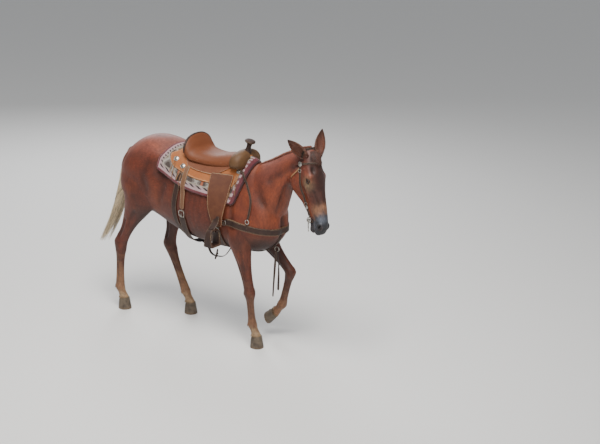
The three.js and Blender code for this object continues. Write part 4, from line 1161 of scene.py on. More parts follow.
# markings, painted highlights and shade, and lie of the coat on the skin
def paintSkin():
    co = millimetres(body)
    out = normals(body)
    tone = coatColour(co, out)
    for ear in ears.values():  # dark rims, pale lining
        foot, axis, front, _ = earAxes(ear)
        local = co - foot
        t = local @ axis / earShape["length"]
        reach = np.linalg.norm(local - np.outer(t * earShape["length"], axis), axis=1)
        on = (t > -0.02) & (t < 1.02) & (reach < 60)
        lining = smooth01(out @ front, 0.1, 0.6) * smooth01(t, 0.05, 0.25) * on
        outside = smooth01(t, 0.0, 0.2) * on
        rim = smooth01(t, 0.62, 0.98) * on
        for name, share in (("face", outside * 0.7), ("earIn", lining * 0.75), ("earEdge", rim * 0.75)):
            tone = tone * (1 - share[:, None]) + ink[name] * share[:, None]
    # painted shade in the sculpted hollows and a warmer painted highlight on the swellings, as deep as the
    # sculpting moved the skin
    clay = Sculpt(body)  # only measured here: hollows darker, swellings lighter
    for sculpt in (sculptTrunk, sculptLegs, sculptHead):
        sculpt(clay)
    reliefShading = np.clip(clay.move / 17, -0.36, 0.14)[:, None]
    tone = tone * (1 + reliefShading) + ink["orange"] * np.clip(reliefShading, 0, 1) * 0.4
    paintPoints(body, "tone", tone)
    x, _, z = co.T
    pointValue(body, "lie", smooth01(z, 800, 950) * (1 - smooth01(x, 330, 480)) * smooth01(x, -640, -480))
    body.data.materials.clear()
    body.data.materials.append(coatPaint)


paintSkin()
print("stage: coat painted")


# an unwrap of the skin: each loft has a tile, and a place has the tile place of the nearest loft point
tiles = {
    "torso": (0.01, 0.01, 0.48, 0.46), "neck": (0.51, 0.01, 0.22, 0.3),
    "face": (0.75, 0.01, 0.24, 0.3), "jaw": (0.75, 0.33, 0.24, 0.14),
    "front_right": (0.01, 0.5, 0.22, 0.2), "front_left": (0.25, 0.5, 0.22, 0.2),
    "hind_right": (0.49, 0.5, 0.24, 0.2), "hind_left": (0.75, 0.5, 0.24, 0.2),
}
tailTile, earTile = (0.01, 0.74, 0.5, 0.24), (0.55, 0.74, 0.4, 0.24)


def skinTree():
    tree, spots = [], []
    rings = {
        "torso": torsoRings(3, 48), "neck": neckRings(4, 40),
        "face": headRings(faceTable, 0.5, 2.1, 3, 40), "jaw": headRings(jawTable, 0.5, 2.2, 3, 40),
    }
    for name, leg in legs.items():
        rings[name] = legRings(leg, 3, 28)
    for name, loops in rings.items():
        u, v, wide, high = tiles[name]
        for r, loop in enumerate(loops):
            for k, place in enumerate(loop):
                tree.append(place)
                spots.append((u + wide * r / (len(loops) - 1), v + high * k / len(loop)))
    kd = KDTree(len(tree))
    for i, place in enumerate(tree):
        kd.insert(place, i)
    kd.balance()
    return kd, spots


skinMap, skinSpots = skinTree()


def unwrapped(places):
    return np.array([skinSpots[skinMap.find(p)[1]] for p in places])


# hair: many thin closed tufts in one mesh
# routes n by m by 3 in millimetres, outs n by 3 or n by m by 3, tones n by 3 or n by m by 3
def tuftPiece(name, routes, outs, widths, profile, tones, spots, thick=0.35):
    routes = np.asarray(routes, float)
    n, m = routes.shape[:2]
    outs = np.asarray(outs, float)
    if outs.ndim == 2:
        outs = np.repeat(outs[:, None], m, 1)
    tones = np.asarray(tones, float)
    if tones.ndim == 2:
        tones = np.repeat(tones[:, None], m, 1)
    along = unit(np.gradient(routes, axis=1))
    across = unit(np.cross(along, outs))
    above = np.cross(across, along)
    half = (np.asarray(widths, float)[:, None] * np.asarray(profile)[None, :] / 2)[..., None]
    ridge = routes + above * half * thick * 2
    verts = np.stack([routes + across * half, ridge, routes - across * half], 2).reshape(-1, 3)
    base = (np.arange(n) * m * 3)[:, None, None]
    ring = np.arange(m - 1)[None, :, None] * 3
    k = np.arange(3)[None, None, :]
    j = (k + 1) % 3
    quads = np.stack([base + ring + step for step in (k, j, 3 + j, 3 + k)], -1).reshape(-1, 4)
    first = (np.arange(n) * m * 3)[:, None] + np.array([2, 1, 0])
    last = (np.arange(n) * m * 3 + (m - 1) * 3)[:, None] + np.array([0, 1, 2])
    faces = quads[:, ::-1].tolist() + first[:, ::-1].tolist() + last[:, ::-1].tolist()
    obj = meshPiece(name, metres(verts), faces)
    paintPoints(obj, "tone", np.repeat(tones, 3, axis=1).reshape(-1, 3))
    patch = np.stack(np.meshgrid(np.linspace(0, 1, m), np.linspace(0, 1, 3), indexing="ij"), -1) * 0.003
    flat = (np.asarray(spots)[:, None, None, :] + patch[None]).reshape(-1, 2)
    layer = obj.data.uv_layers.new(name="OFBake")
    index = np.zeros(len(obj.data.loops), np.int32)
    obj.data.loops.foreach_get("vertex_index", index)
    layer.data.foreach_set("uv", flat[index].astype(np.float32).ravel())
    obj.data.materials.append(hairPaint)
    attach(obj, "root")
    return obj


# tail: fine strands that leave the dock at many levels and gather in a few long locks
tail = {"strands": 2400, "steps": 14, "width": (1.8, 4.2), "clumps": 24, "seed": 7}
tailRoute = fineRows([[-760, 0, 1392], [-792, 0, 1372], [-846, -2, 1240], [-866, -6, 1070], [-908, -16, 880],
                      [-975, -28, 700], [-1080, -40, 500]], 12)


def tailAt(t):
    place = np.clip(t, 0, 1) * (len(tailRoute) - 1)
    i = np.minimum(place.astype(int), len(tailRoute) - 2)
    share = (place - i)[..., None]
    return tailRoute[i] * (1 - share) + tailRoute[i + 1] * share


def makeTail():
    rng = np.random.default_rng(tail["seed"])
    n, m = tail["strands"], tail["steps"]
    start = 0.01 + 0.44 * rng.random(n) ** 0.8
    turn = rng.uniform(-math.pi, math.pi, n)
    clump = rng.integers(0, tail["clumps"], n)
    clumpTurn = rng.uniform(-math.pi, math.pi, tail["clumps"])[clump]
    clumpReach = rng.uniform(8, 58, tail["clumps"])[clump]
    clumpTone = rng.uniform(0.55, 1.15, tail["clumps"])[clump]
    clumpEnd = rng.uniform(0.82, 1.12, tail["clumps"])[clump]
    end = np.clip(rng.normal(0.84, 0.12, n) * clumpEnd, start + 0.16, 0.975)
    t = start[:, None] + (end - start)[:, None] * np.linspace(0, 1, m)[None]
    centre = tailAt(t)
    swell = np.interp(t, [0, 0.08, 0.3, 0.55, 0.8, 1], [21, 25, 38, 56, 58, 44])
    depth = rng.uniform(0.55, 1.0, n)[:, None]
    gather = smooth01(t, 0.35, 0.95) * 0.82
    stray = rng.normal(0, 3.5, n)[:, None]
    reach = swell * depth * (1 - gather) + clumpReach[:, None] * gather + stray * gather
    bend = rng.normal(0, 0.16, n)[:, None] * np.sin(t * 7 + rng.uniform(0, 6, n)[:, None])
    angle = turn[:, None] * (1 - gather) + clumpTurn[:, None] * gather + bend
    away = np.stack([-np.cos(angle), np.sin(angle) * 0.9, np.zeros_like(angle)], -1)
    routes = centre + away * reach[..., None]
    wave = np.sin(t * 16 + rng.uniform(0, 6, n)[:, None])[..., None]
    routes += wave * rng.normal(0, 3, (n, 1, 3)) * gather[..., None]
    routes[..., 0] = np.minimum(routes[..., 0], centre[..., 0] + 16 + 20 * t)
    widths = rng.uniform(*tail["width"], n)
    profile = np.interp(np.linspace(0, 1, m), [0, 0.15, 0.6, 1], [0.5, 1, 0.85, 0.04])
    rusty, cream, dark = linear((104, 56, 34)), linear((222, 202, 166)), linear((86, 60, 44))
    fade = smooth01(t, 0.1, 0.45)[..., None]
    shade = rng.random(n)[:, None, None]
    pale = cream * (clumpTone + 0.24 * rng.random(n))[:, None, None]
    tones = rusty * (1 - fade) + np.where(shade < 0.2, dark, pale) * fade
    u, v, wide, high = tailTile
    spots = np.stack([u + wide * start / 0.5, v + high * (turn / 6.3 + 0.5)], -1)
    hair = tuftPiece("tail_hair", routes, away, widths, profile, tones, spots)
    halves = np.interp(np.linspace(0, 1, 16), [0, 0.2, 0.6, 0.9, 1], [20, 24, 28, 22, 6])
    rings = []
    for share, half in zip(np.linspace(0, 1, 16), halves):
        core = tailAt(np.array(share * 0.6))
        rings.append(ringAt((core, np.array([half, 0, 0.0]), np.array([-half, 0, 0.0]),
                             np.array([0, half * 0.9, 0]), 2.0, 2.0), turns(20)))
    dock = fixNormals(loft("dock", rings))
    co = millimetres(dock)
    down = smooth01(-co[:, 2], -1250, -1050)[:, None]
    paintPoints(dock, "tone", toned((110, 64, 42), (120, 98, 74), down))
    pointValue(dock, "lie", np.zeros(len(co)))
    dock.data.materials.append(coatPaint)
    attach(dock, "root")
    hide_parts("tail")
    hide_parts("tail")


makeTail()
print("stage: tail made")


# the skin as something to set hair and straps on
def skinSurface():
    return BVHTree.FromPolygons(millimetres(body).tolist(), triangles(body).tolist())


surface = skinSurface()


# the first place of the skin on the way from outside to inside, and the way out
def castOn(outside, inside):
    outside, inside = np.asarray(outside, float), np.asarray(inside, float)
    out = unit(outside - inside)
    hit = surface.ray_cast(Vector(outside), Vector(-out))[0]
    return (np.array(hit), out) if hit else (inside, out)


def nearSkin(place):
    return np.array(surface.find_nearest(Vector(place))[0])


# routes of tufts that leave their roots along a way, lifted off the skin
def combed(roots, outs, ways, lengths, lifts, steps):
    s = np.linspace(0, 1, steps)[None, :, None]
    reach = lengths[:, None, None] * s
    rise = lifts[:, None, None] * np.sin(s * 1.9)
    return roots[:, None] - outs[:, None] * 1.5 + ways[:, None] * reach + outs[:, None] * rise


# mane: roached, a short brush along the crest
mane = {"tufts": 3000, "height": (12, 24), "half": 11, "seed": 11}


def crestPlace(share):
    rows = fineRows(neckTable, 10)
    place = share * (len(rows) - 1)
    i = min(int(place), len(rows) - 2)
    a, b = rows[i], rows[i + 1]
    at = lerp(a, b, place - i)
    along = unit(np.array([b[0] - a[0], 0, b[1] - a[1]]))
    return np.array([at[0], at[4], at[1]]), along


def makeMane():
    rng = np.random.default_rng(mane["seed"])
    roots, ups, ways = [], [], []
    for _ in range(mane["tufts"]):
        share = rng.uniform(0.12, 0.955)
        at, along = crestPlace(share)
        up = np.array([-along[2], 0, along[0]])
        y = np.clip(rng.normal(0, 0.45), -1, 1) * mane["half"] * min(1, 0.5 + share)
        place, _ = castOn(at + up * 90 + [0, y, 0], at - up * 60 + [0, y, 0])
        roots.append(place)
        ups.append(unit(up + [0, y / 26, 0] + rng.normal(0, 0.09, 3)))
        ways.append(along)
    roots, ups, ways = np.array(roots), np.array(ups), np.array(ways)
    n, m = len(roots), 4
    tall = rng.uniform(*mane["height"], n) * np.interp(roots[:, 0], [440, 560, 700], [0.45, 0.8, 1])
    s = np.linspace(0, 1, m)[None, :, None]
    routes = roots[:, None] - ups[:, None] * 5 + ups[:, None] * tall[:, None, None] * s * 1.15
    routes += ways[:, None] * (s ** 2) * 5 * rng.normal(1, 0.6, n)[:, None, None]
    tip = smooth01(s, 0.45, 1.0) * rng.uniform(0.4, 1, n)[:, None, None]
    tones = toned((88, 38, 22), (150, 92, 70), tip)
    tuftPiece("mane", routes, np.cross(ups, ways), rng.uniform(3, 5.5, n), [0.9, 1, 0.75, 0.1], tones,
              unwrapped(roots), 0.5)


makeMane()
print("stage: mane made")


# leather with grain, darker pores, rubbed edges and a row of stitches beside the edge
def leatherGroup():
    tree, n, given, out = newGroup(
        "leather",
        [("Tone", "Color", (0.2, 0.1, 0.05, 1)), ("Worn", "Color", (0.4, 0.25, 0.15, 1)),
         ("Thread", "Color", (0.5, 0.45, 0.35, 1)), ("Edge", "Float", 20.0), ("Along", "Float", 0.0),
         ("Inset", "Float", 5.0), ("Pitch", "Float", 6.0), ("Stitched", "Float", 1.0),
         ("Tooled", "Float", 0.0),
         ("Gloss", "Float", 0.45)],
        [("Colour", "Color"), ("Roughness", "Float"), ("Height", "Float")])
    even = n.stretched((1, 1, 1))
    cells = n.add("TexVoronoi", ("Vector", even), in_Scale=620.0)
    grain = n.ramp(cells.outputs["Distance"], (0.05, 0.0), (0.5, 1.0))
    stain = n.noise(even, 24.0, 4.0, 0.6)
    scuff = n.noise(even, 90.0, 5.0, 0.7)
    fromInset = n.size(n.minus(given["Edge"], given["Inset"]))
    row = n.below(fromInset, 0.75)
    groove = n.ramp(n.times(fromInset, 0.4), (0.3, 1.0), (0.9, 0.0))
    dash = n.below(n.math("FRACT", n.over(given["Along"], given["Pitch"])), 0.62)
    stitch = n.times(n.times(row, dash), given["Stitched"])
    rubbed = n.ramp(n.times(given["Edge"], 0.3), (0.0, 1.0), (0.75, 0.0))
    wear = n.times(rubbed, n.plus(scuff, 0.25))
    # basket stamp: small blocks of ribs that turn from cell to cell, laid aslant
    split = n.add("SeparateXYZ", ("Vector", even)).outputs
    rising = n.times(n.plus(split[0], split[2]), 44.0)
    falling = n.times(n.minus(split[0], split[2]), 44.0)
    odd = n.math("MODULO", n.plus(n.math("FLOOR", rising), n.math("FLOOR", falling)), 2.0)
    ribs = [n.size(n.math("SINE", n.times(way, math.pi * 2))) for way in (rising, falling)]
    block = n.mix(n.size(odd), ribs[0], ribs[1])
    line = n.ramp(block, (0.1, 0.12), (0.55, 1.0))
    border = n.ramp(n.times(given["Edge"], 0.05), (0.55, 0.0), (0.62, 1.0))
    tooled = n.mix(n.times(given["Tooled"], border), (1, 1, 1, 1), line)
    mottled = n.mix(n.ramp(stain, (0.35, 0.0), (0.8, 0.3)), given["Tone"], given["Worn"])
    darker = n.mix(1.0, mottled, n.mix(0.7, (1, 1, 1, 1), tooled), "MULTIPLY")
    pored = n.mix(1.0, darker, n.mix(0.25, (1, 1, 1, 1), grain), "MULTIPLY")
    worn = n.mix(wear, pored, given["Worn"])
    tree.links.new(n.mix(stitch, worn, given["Thread"]), out["Colour"])
    tree.links.new(n.plus(given["Gloss"], n.times(scuff, 0.28)), out["Roughness"])
    height = n.plus(n.times(grain, 0.25), n.times(tooled, 0.9))
    height = n.minus(height, n.times(n.times(groove, given["Stitched"]), 0.5))
    tree.links.new(n.plus(height, n.times(stitch, 0.9)), out["Height"])
    return tree


leatherShader = leatherGroup()


def leatherMaterial(name, tone, worn, **values):
    paint, n, shader = newMaterial(name, Specular_IOR_Level=0.4)
    edge = n.attribute("edge")
    along = n.attribute("along")
    node = useGroup(n, leatherShader, Tone=rgba(tone), Worn=rgba(worn), Edge=edge, Along=along, **values)
    n.feed(shader, "Base Color", node.outputs["Colour"])
    n.feed(shader, "Roughness", node.outputs["Roughness"])
    bumpFrom(n, shader, node.outputs["Height"], 0.5, 0.0012)
    return paint


leathers = {
    "tan": leatherMaterial("tooled_tan_leather", (158, 88, 38), (196, 132, 78), Tooled=1.0,
                           Thread=rgba((226, 206, 170))),
    "seat": leatherMaterial("seat_leather", (110, 58, 28), (82, 43, 23), Stitched=1.0, Gloss=0.46, Pitch=5.0,
                            Thread=rgba((216, 196, 160))),
    "fender": leatherMaterial("fender_leather", (84, 44, 24), (126, 78, 46), Tooled=0.5,
                              Thread=rgba((200, 176, 136))),
    "jockey": leatherMaterial("jockey_leather", (104, 54, 27), (146, 90, 52), Tooled=0.6,
                              Thread=rgba((210, 188, 150))),
    "olive": leatherMaterial("olive_leather", (84, 57, 32), (128, 94, 58), Gloss=0.46),
    "dark": leatherMaterial("dark_leather", (44, 27, 21), (88, 58, 42), Thread=rgba((150, 128, 100))),
    "billet": leatherMaterial("billet_leather", (104, 70, 48), (150, 112, 80), Thread=rgba((196, 178, 146))),
    "black": leatherMaterial("bridle_leather", (38, 25, 20), (92, 62, 46), Thread=rgba((120, 100, 80)),
                             Inset=3.0, Pitch=4.0),
    "throat": leatherMaterial("throatlatch_leather", (128, 92, 62), (168, 130, 92), Stitched=0.0),
}


def metalMaterial():
    paint, n, shader = newMaterial("worn_silver", Metallic=1.0)
    even = n.stretched((1, 1, 1))
    tarnish = n.ramp(n.noise(even, 60.0, 4.0), (0.35, rgba((120, 112, 100))), (0.65, rgba((206, 204, 198))))
    n.feed(shader, "Base Color", tarnish)
    n.feed(shader, "Roughness", n.ramp(n.noise(even, 140.0, 3.0), (0.3, 0.2), (0.75, 0.5)))
    bumpFrom(n, shader, n.noise(even, 220.0, 2.0), 0.15, 0.0006)
    return paint


# woven wool: bands along the edges, stepped diamonds within, ribs of the weave
def woolMaterial():
    paint, n, shader = newMaterial("woven_wool", Roughness=0.95, Sheen_Weight=0.3, Specular_IOR_Level=0.15)
    rear, front, side, across, length = map(n.attribute, ("rear", "front", "low", "across", "length"))
    edge = n.math("MINIMUM", rear, side)

    def step(x, at):
        return n.math("GREATER_THAN", x, at)

    def band(x, low, high):
        return n.times(step(x, low), n.below(x, high))

    def zigzag(x, period):
        return n.size(n.minus(n.math("FRACT", n.over(x, period)), 0.5))

    def stepped(x, size):
        return n.times(n.math("FLOOR", n.over(x, size)), size)

    # ground of stepped diamonds
    s, r = stepped(length, 7.0), stepped(across, 7.0)
    diamond = n.plus(n.times(zigzag(s, 118.0), 1.15), zigzag(r, 92.0))
    ground = n.mix(step(diamond, 0.3), rgba((52, 46, 44)), rgba((148, 128, 104)))
    for inner, colour in ((0.42, (172, 164, 154)), (0.62, (116, 106, 100)), (0.8, (74, 62, 56))):
        ground = n.mix(step(diamond, inner), ground, rgba(colour))
    ground = n.mix(band(n.math("FRACT", n.over(length, 236.0)), 0.46, 0.54), ground, rgba((164, 92, 64)))
    # rear and lower bands
    dashes = step(zigzag(n.plus(across, n.times(length, 0.4)), 26.0), 0.28)
    pale = n.mix(dashes, rgba((178, 152, 152)), rgba((48, 38, 38)))
    cloth = ground
    for width, colour in ((56.0, rgba((164, 152, 138))), (48.0, pale), (32.0, rgba((186, 156, 158))),
                          (18.0, rgba((112, 52, 58)))):
        cloth = n.mix(n.below(edge, width), cloth, colour)
    # front bands
    bars = step(zigzag(across, 34.0), 0.25)
    barred = n.mix(bars, rgba((188, 160, 160)), rgba((124, 74, 76)))
    for width, colour in ((60.0, barred), (40.0, rgba((104, 42, 50))), (12.0, rgba((74, 40, 44)))):
        cloth = n.mix(n.below(front, width), cloth, colour)
    weft = n.math("SINE", n.times(length, 1.9))
    warp = n.math("SINE", n.times(across, 1.3))
    weave = n.plus(n.times(weft, 0.5), n.times(n.times(weft, warp), 0.5))
    fuzz = n.noise(n.stretched((1, 1, 1)), 300.0, 3.0)
    dusty = n.ramp(n.noise(n.stretched((1, 1, 1)), 16.0, 3.0), (0.3, 0.72), (0.7, 1.0))
    # painted shade between the ribs of the weave
    sunk = n.ramp(n.math("MULTIPLY_ADD", weave, 0.5), (0.0, 0.6), (1.0, 1.0))
    shade = n.mix(1.0, cloth, n.mix(0.5, (1, 1, 1, 1), sunk), "MULTIPLY")
    n.feed(shader, "Base Color", n.mix(1.0, shade, dusty, "MULTIPLY"))
    bumpFrom(n, shader, n.plus(weave, fuzz), 0.6, 0.0016)
    return paint


silver = metalMaterial()
wool = woolMaterial()
print("stage: tack materials made")


# tack: straps, draped sheets and fittings
def finishPiece(obj, slotName, *replaced, paint=None):
    if paint:
        obj.data.materials.clear()
        obj.data.materials.append(paint)
    shadeSmooth(obj)
    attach(obj, "root")
    if replaced:
        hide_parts(*replaced)
    return obj


def leathered(obj, kind, *replaced, slotName="dark_leather"):
    return finishPiece(obj, slotName, *replaced, paint=leathers[kind])


def silvered(obj, *replaced):
    return finishPiece(obj, "steel", *replaced, paint=silver)


# a bare part of the animal in one colour
def tinted(obj, colour, slotName="coat"):
    count = len(obj.data.vertices)
    paintPoints(obj, "tone", np.tile(linear(colour), (count, 1)))
    pointValue(obj, "lie", np.zeros(count))
    return finishPiece(obj, slotName, paint=coatPaint)


# each strap: width, thickness, how far it lies off what is under it, and its leather
straps = {
    "billet": (44, 6, 4, "billet"), "flank": (54, 5, 4, "dark"), "latigo": (44, 6, 5, "billet"),
    "rearCinch": (70, 6, 2, "dark"), "collar": (52, 6, 3, "dark"), "lining": (60, 3, 0, "billet"),
    "tug": (20, 4, 4, "black"), "link": (24, 4, 7, "dark"), "breast": (34, 5, 4, "dark"),
    "cheek": (20, 4, 3, "black"), "crown": (22, 4, 3, "black"), "brow": (16, 4, 3, "black"),
    "throat": (14, 4, 3, "throat"), "curb": (14, 4, 3, "black"),
}


# a strap of rounded section along a route of millimetres, with its length and edge distance kept
def strapMesh(name, route, outs, width, thick, lift=0.0, roundEnd=True, widths=None):
    route, outs = np.asarray(route, float), np.asarray(outs, float)
    along = unit(np.gradient(route, axis=0))
    across = unit(np.cross(along, outs))
    normal = np.cross(across, along)
    length = np.concatenate([[0], np.cumsum(np.linalg.norm(np.diff(route, axis=0), axis=1))])
    wide = np.full(len(route), width / 2.0) if widths is None else np.asarray(widths) / 2.0
    if roundEnd:
        left = np.minimum(length, length[-1] - length)
        nose = width * 0.45
        wide = wide * np.where(left < nose, np.sqrt(np.clip(1 - (1 - left / nose) ** 2, 0.02, 1)), 1)
    rounding = min(thick / 2, 3.0)
    section = []
    for k in range(5):
        a = math.pi / 2 * k / 4
        section.append((1, -rounding * (1 - math.cos(a)), thick - rounding * (1 - math.sin(a))))
    section = section[::-1]
    top = [(s, 0, thick + 0.04 * thick * (1 - s * s)) for s in (-0.6, -0.2, 0.2, 0.6)]
    right = [(1, d, h) for _, d, h in section]
    outline = [(-1, d, h) for _, d, h in section[::-1]] + top + right
    outline += [(1, -rounding, 0.0), (0.5, 0, 0.0), (-0.5, 0, 0.0), (-1, -rounding, 0.0)]
    rings, edges, alongs = [], [], []
    for i in range(len(route)):
        ring = []
        for s, inset, h in outline:
            offset = s * wide[i] + (inset if s > 0 else -inset) * (abs(s) == 1)
            ring.append(route[i] + across[i] * offset + normal[i] * (lift + h))
            edges.append(wide[i] - abs(offset) if h > thick * 0.6 else 40.0)
            alongs.append(length[i])
        rings.append(np.array(ring))
    obj = loft(name, rings)
    extra = len(obj.data.vertices) - len(edges)
    pointValue(obj, "edge", edges + [40.0] * extra)
    pointValue(obj, "along", alongs + [0.0] * extra)
    return fixNormals(obj)


# the skin below or above a place of the trunk's outline
def skinBelow(place, out, above=120, below=60):
    return castOn(place + out * above, place - out * below)[0]


# shares from 0 to 1, closer together near both ends
def edged(count, span, thick):
    near = np.array([0, 0.12, 0.35, 0.7, 1.0]) * thick / span
    inner = np.linspace(near[-1], 1 - near[-1], count)
    return np.concatenate([near[:-1], inner, (1 - near[:-1])[::-1]])


# a thick sheet over the trunk between two edges, rounded at its rim and corners
def sheetMesh(name, shape, across=60, around=70, corner=18.0, ripple=0.0, seed=1, cast=False):
    perDegree = 5.0
    span = abs(shape["to"] - shape["from"]) * perDegree
    rows = edged(around, span, shape["thick"])
    angles = shape["from"] + (shape["to"] - shape["from"]) * rows
    rims = np.minimum(rows, 1 - rows) * span
    rings, keep = [], {k: [] for k in ("rear", "front", "low", "across", "length", "edge", "along")}
    rng = np.random.default_rng(seed)
    phase = rng.uniform(0, 6.28, 6)
    for angle, rim in zip(angles, rims):
        inset = corner - math.sqrt(max(corner ** 2 - max(corner - rim, 0) ** 2, 0))
        back, fore = shape["rear"](angle) + inset, shape["front"](angle) - inset
        shares = edged(across, fore - back, shape["thick"])
        xs = back + (fore - back) * shares
        r = shape["thick"] / 2
        side = np.clip(np.minimum(xs - back, fore - xs) / r, 0, 1)
        q = np.sqrt(1 - (1 - side) ** 2) * math.sqrt(1 - (1 - min(rim / r, 1)) ** 2)
        wave = ripple * (np.sin(xs / 61 + phase[0] + angle / 19) + math.sin(angle / 7.3 + phase[1])
                         + 0.6 * np.sin(xs / 27 + angle / 5 + phase[2]))
        mid = shape["lift"] + r + wave * smooth01(abs(angle), 30, 60)
        mid = mid + shape.get("rise", lambda x, a: 0.0)(xs, angle)
        place, out = trunkPoints(xs, rad(angle))
        if cast:
            place = np.array([skinBelow(*pair) for pair in zip(place, out)])
        outer = place + out * (mid + r * q)[:, None]
        inner = place + out * (mid - r * q)[:, None]
        rings.append(np.concatenate([outer, inner[::-1]]))
        for row in (xs, xs[::-1]):
            keep["rear"] += (row - back).tolist()
            keep["front"] += (fore - row).tolist()
            keep["low"] += [rim] * len(row)
            keep["across"] += [angle * perDegree] * len(row)
            keep["length"] += row.tolist()
            toEnd = np.minimum(row - back, fore - row)
            keep["edge"] += np.minimum(toEnd, rim).tolist()
            keep["along"] += np.where(toEnd < rim, angle * perDegree, row).tolist()
    obj = loft(name, rings)
    extra = len(obj.data.vertices) - len(keep["rear"])
    for key, values in keep.items():
        pointValue(obj, key, values + [values[-1]] * extra)
    return fixNormals(obj)


def mirrored(shape):
    return {**shape, "from": -shape["from"], "to": -shape["to"],
            "rear": lambda a: shape["rear"](-a), "front": lambda a: shape["front"](-a)}


# saddle pad: thick woven wool, swept back at its rear corners
padShape = {
    "from": -68, "to": 68, "lift": 3, "thick": 19,
    "rear": lambda a: lerp(-190, -336, min(1, abs(a) / 52) ** 0.8),
    "front": lambda a: lerp(508, 418, (abs(a) / 68) ** 1.4),
}
pad = sheetMesh("saddle_blanket", padShape, 110, 130, 26, 1.2, 5)
finishPiece(pad, "woven_wool", "saddle_pad", paint=wool)

skirtShape = {
    "from": -51, "to": 51, "lift": 23, "thick": 8,
    "rear": lambda a: lerp(-140, -240, min(1, abs(a) / 38) ** 2) + 40 * (max(0, abs(a) - 38) / 13) ** 2,
    "front": lambda a: 430 - 46 * (abs(a) / 51) ** 2,
}
skirtTop, padTop = (shape["lift"] + shape["thick"] + 2 for shape in (skirtShape, padShape))
skirts = sheetMesh("saddle_skirts_leather", skirtShape, 50, 60, 34)
leathered(skirts, "tan", "saddle_skirts", slotName="tan_leather")

jockeyShape = {
    "from": 20, "to": 41, "lift": 32, "thick": 6,
    "rear": lambda a: lerp(-120, -60, ((a - 20) / 21) ** 2),
    "front": lambda a: lerp(372, 200, ((a - 20) / 21) ** 1.5),
}
for side, shape in (("left", jockeyShape), ("right", mirrored(jockeyShape))):
    flap = sheetMesh("seat_jockey_" + side, shape, 34, 24, 30)
    leathered(flap, "jockey", slotName="tan_leather")

fenderShape = {
    "from": 38, "to": 104, "lift": 35, "thick": 8,
    "rear": lambda a: lerp(170, 262, (a - 38) / 66) - 14 * math.sin((a - 38) / 66 * math.pi),
    "front": lambda a: lerp(372, 346, (a - 38) / 66),
}
for side, shape in (("left", fenderShape), ("right", mirrored(fenderShape))):
    flap = sheetMesh("fender_leather_" + side, shape, 26, 50, 22)
    leathered(flap, "fender", "fender_" + side)
print("stage: pad, skirts and fenders made")


# seat: a leather seat that dips behind the fork and rises to the cantle
seatTable = [
    [-124, 1556, 1490, 118], [-116, 1606, 1440, 166], [-96, 1616, 1424, 180], [-74, 1580, 1410, 182],
    [-44, 1532, 1404, 180], [10, 1514, 1398, 170], [90, 1508, 1388, 156], [180, 1512, 1388, 142],
    [262, 1522, 1396, 128], [300, 1528, 1408, 118],
]
forkTable = [
    [306, 1504, 1430, 104], [318, 1540, 1416, 142], [345, 1560, 1410, 164], [385, 1564, 1412, 166],
    [415, 1550, 1420, 150], [432, 1520, 1436, 112],
]


def saddleLoft(name, table, square, steps, sides=48):
    rings = [ringAt(outlineRing((x, top), (x, low), 0, half, 0.35, square, square), turns(sides))
             for x, top, low, half in fineRows(table, steps)]
    return fixNormals(loft(name, rings))


def plainValues(obj, edge=40.0):
    count = len(obj.data.vertices)
    pointValue(obj, "edge", np.full(count, edge))
    pointValue(obj, "along", np.zeros(count))
    return obj


def makeSeat():
    seat = saddleLoft("seat_leather", seatTable, 2.2, 7, 56)
    co = millimetres(seat)
    x, y, z = co.T
    topness = smooth01(normals(seat)[:, 2], 0.2, 0.8)
    dish = 15 * np.exp(-(y / 95) ** 2) * smooth01(x, -86, -30) * (1 - smooth01(x, 120, 250))
    co[:, 2] -= dish * topness
    lean = smooth01(z, 1530, 1616) * (1 - smooth01(x, -90, -40))
    co[:, 0] += -6 * lean
    setPoints(seat, metres(co))
    slope = np.maximum(np.abs(normals(seat)[:, 2] ** 2 - 1) ** 0.5, 0.3)
    fromRow = np.abs(z - 1452) / slope  # distance over the leather from the row of stitches
    pointValue(seat, "edge", np.where(np.abs(y) > 60, np.minimum(fromRow + 5, 40), 40))
    pointValue(seat, "along", x)
    leathered(seat, "seat", "saddle_seat", slotName="tan_leather")

    # rolled binding along the cantle
    count = 60
    ring = outlineRing((-108, 1617), (-108, 1430), 0, 178, 0.35, 2.2, 2.2)
    arc = ringAt(ring, np.linspace(rad(-96), rad(96), count))
    arc[:, 0] += 8 * smooth01(np.abs(arc[:, 1]), 100, 178) - 5
    arc[:, 2] -= 2
    radii = np.interp(np.linspace(-1, 1, count), [-1, -0.8, 0.8, 1], [4, 10, 10, 4])
    roll = tubeMesh("cantle_roll", arc, radii, 14)
    leathered(plainValues(roll), "dark")

    fork = saddleLoft("fork_leather", forkTable, 2.4, 8, 56)
    plainValues(fork)
    co = millimetres(fork)
    ridge = np.abs(co[:, 0] - 366 - 0.08 * np.abs(co[:, 1]))
    pointValue(fork, "edge", ridge + 5)
    pointValue(fork, "along", co[:, 1])
    leathered(fork, "olive", "saddle_fork", slotName="olive_leather")


# a round tube along a path of millimetres
def tubeMesh(name, path, radii, sides=10, closed=False):
    path = np.asarray(path, float)
    radii = np.broadcast_to(np.asarray(radii, float), (len(path),))
    along = unit(np.gradient(path, axis=0))
    if closed:
        along = unit(np.roll(path, -1, 0) - np.roll(path, 1, 0))
    start = np.array([0, 0, 1.0]) if abs(along[0][2]) < 0.9 else np.array([1.0, 0, 0])
    side = unit(np.cross(along[0], start))
    rings = []
    angle = np.arange(sides) * 2 * math.pi / sides
    for p, way, r in zip(path, along, radii):
        side = unit(side - way * (side @ way))
        other = np.cross(way, side)
        rings.append(p + np.outer(np.cos(angle) * r, side) + np.outer(np.sin(angle) * r, other))
    if not closed:
        return fixNormals(loft(name, rings))
    return hoop(name, rings)


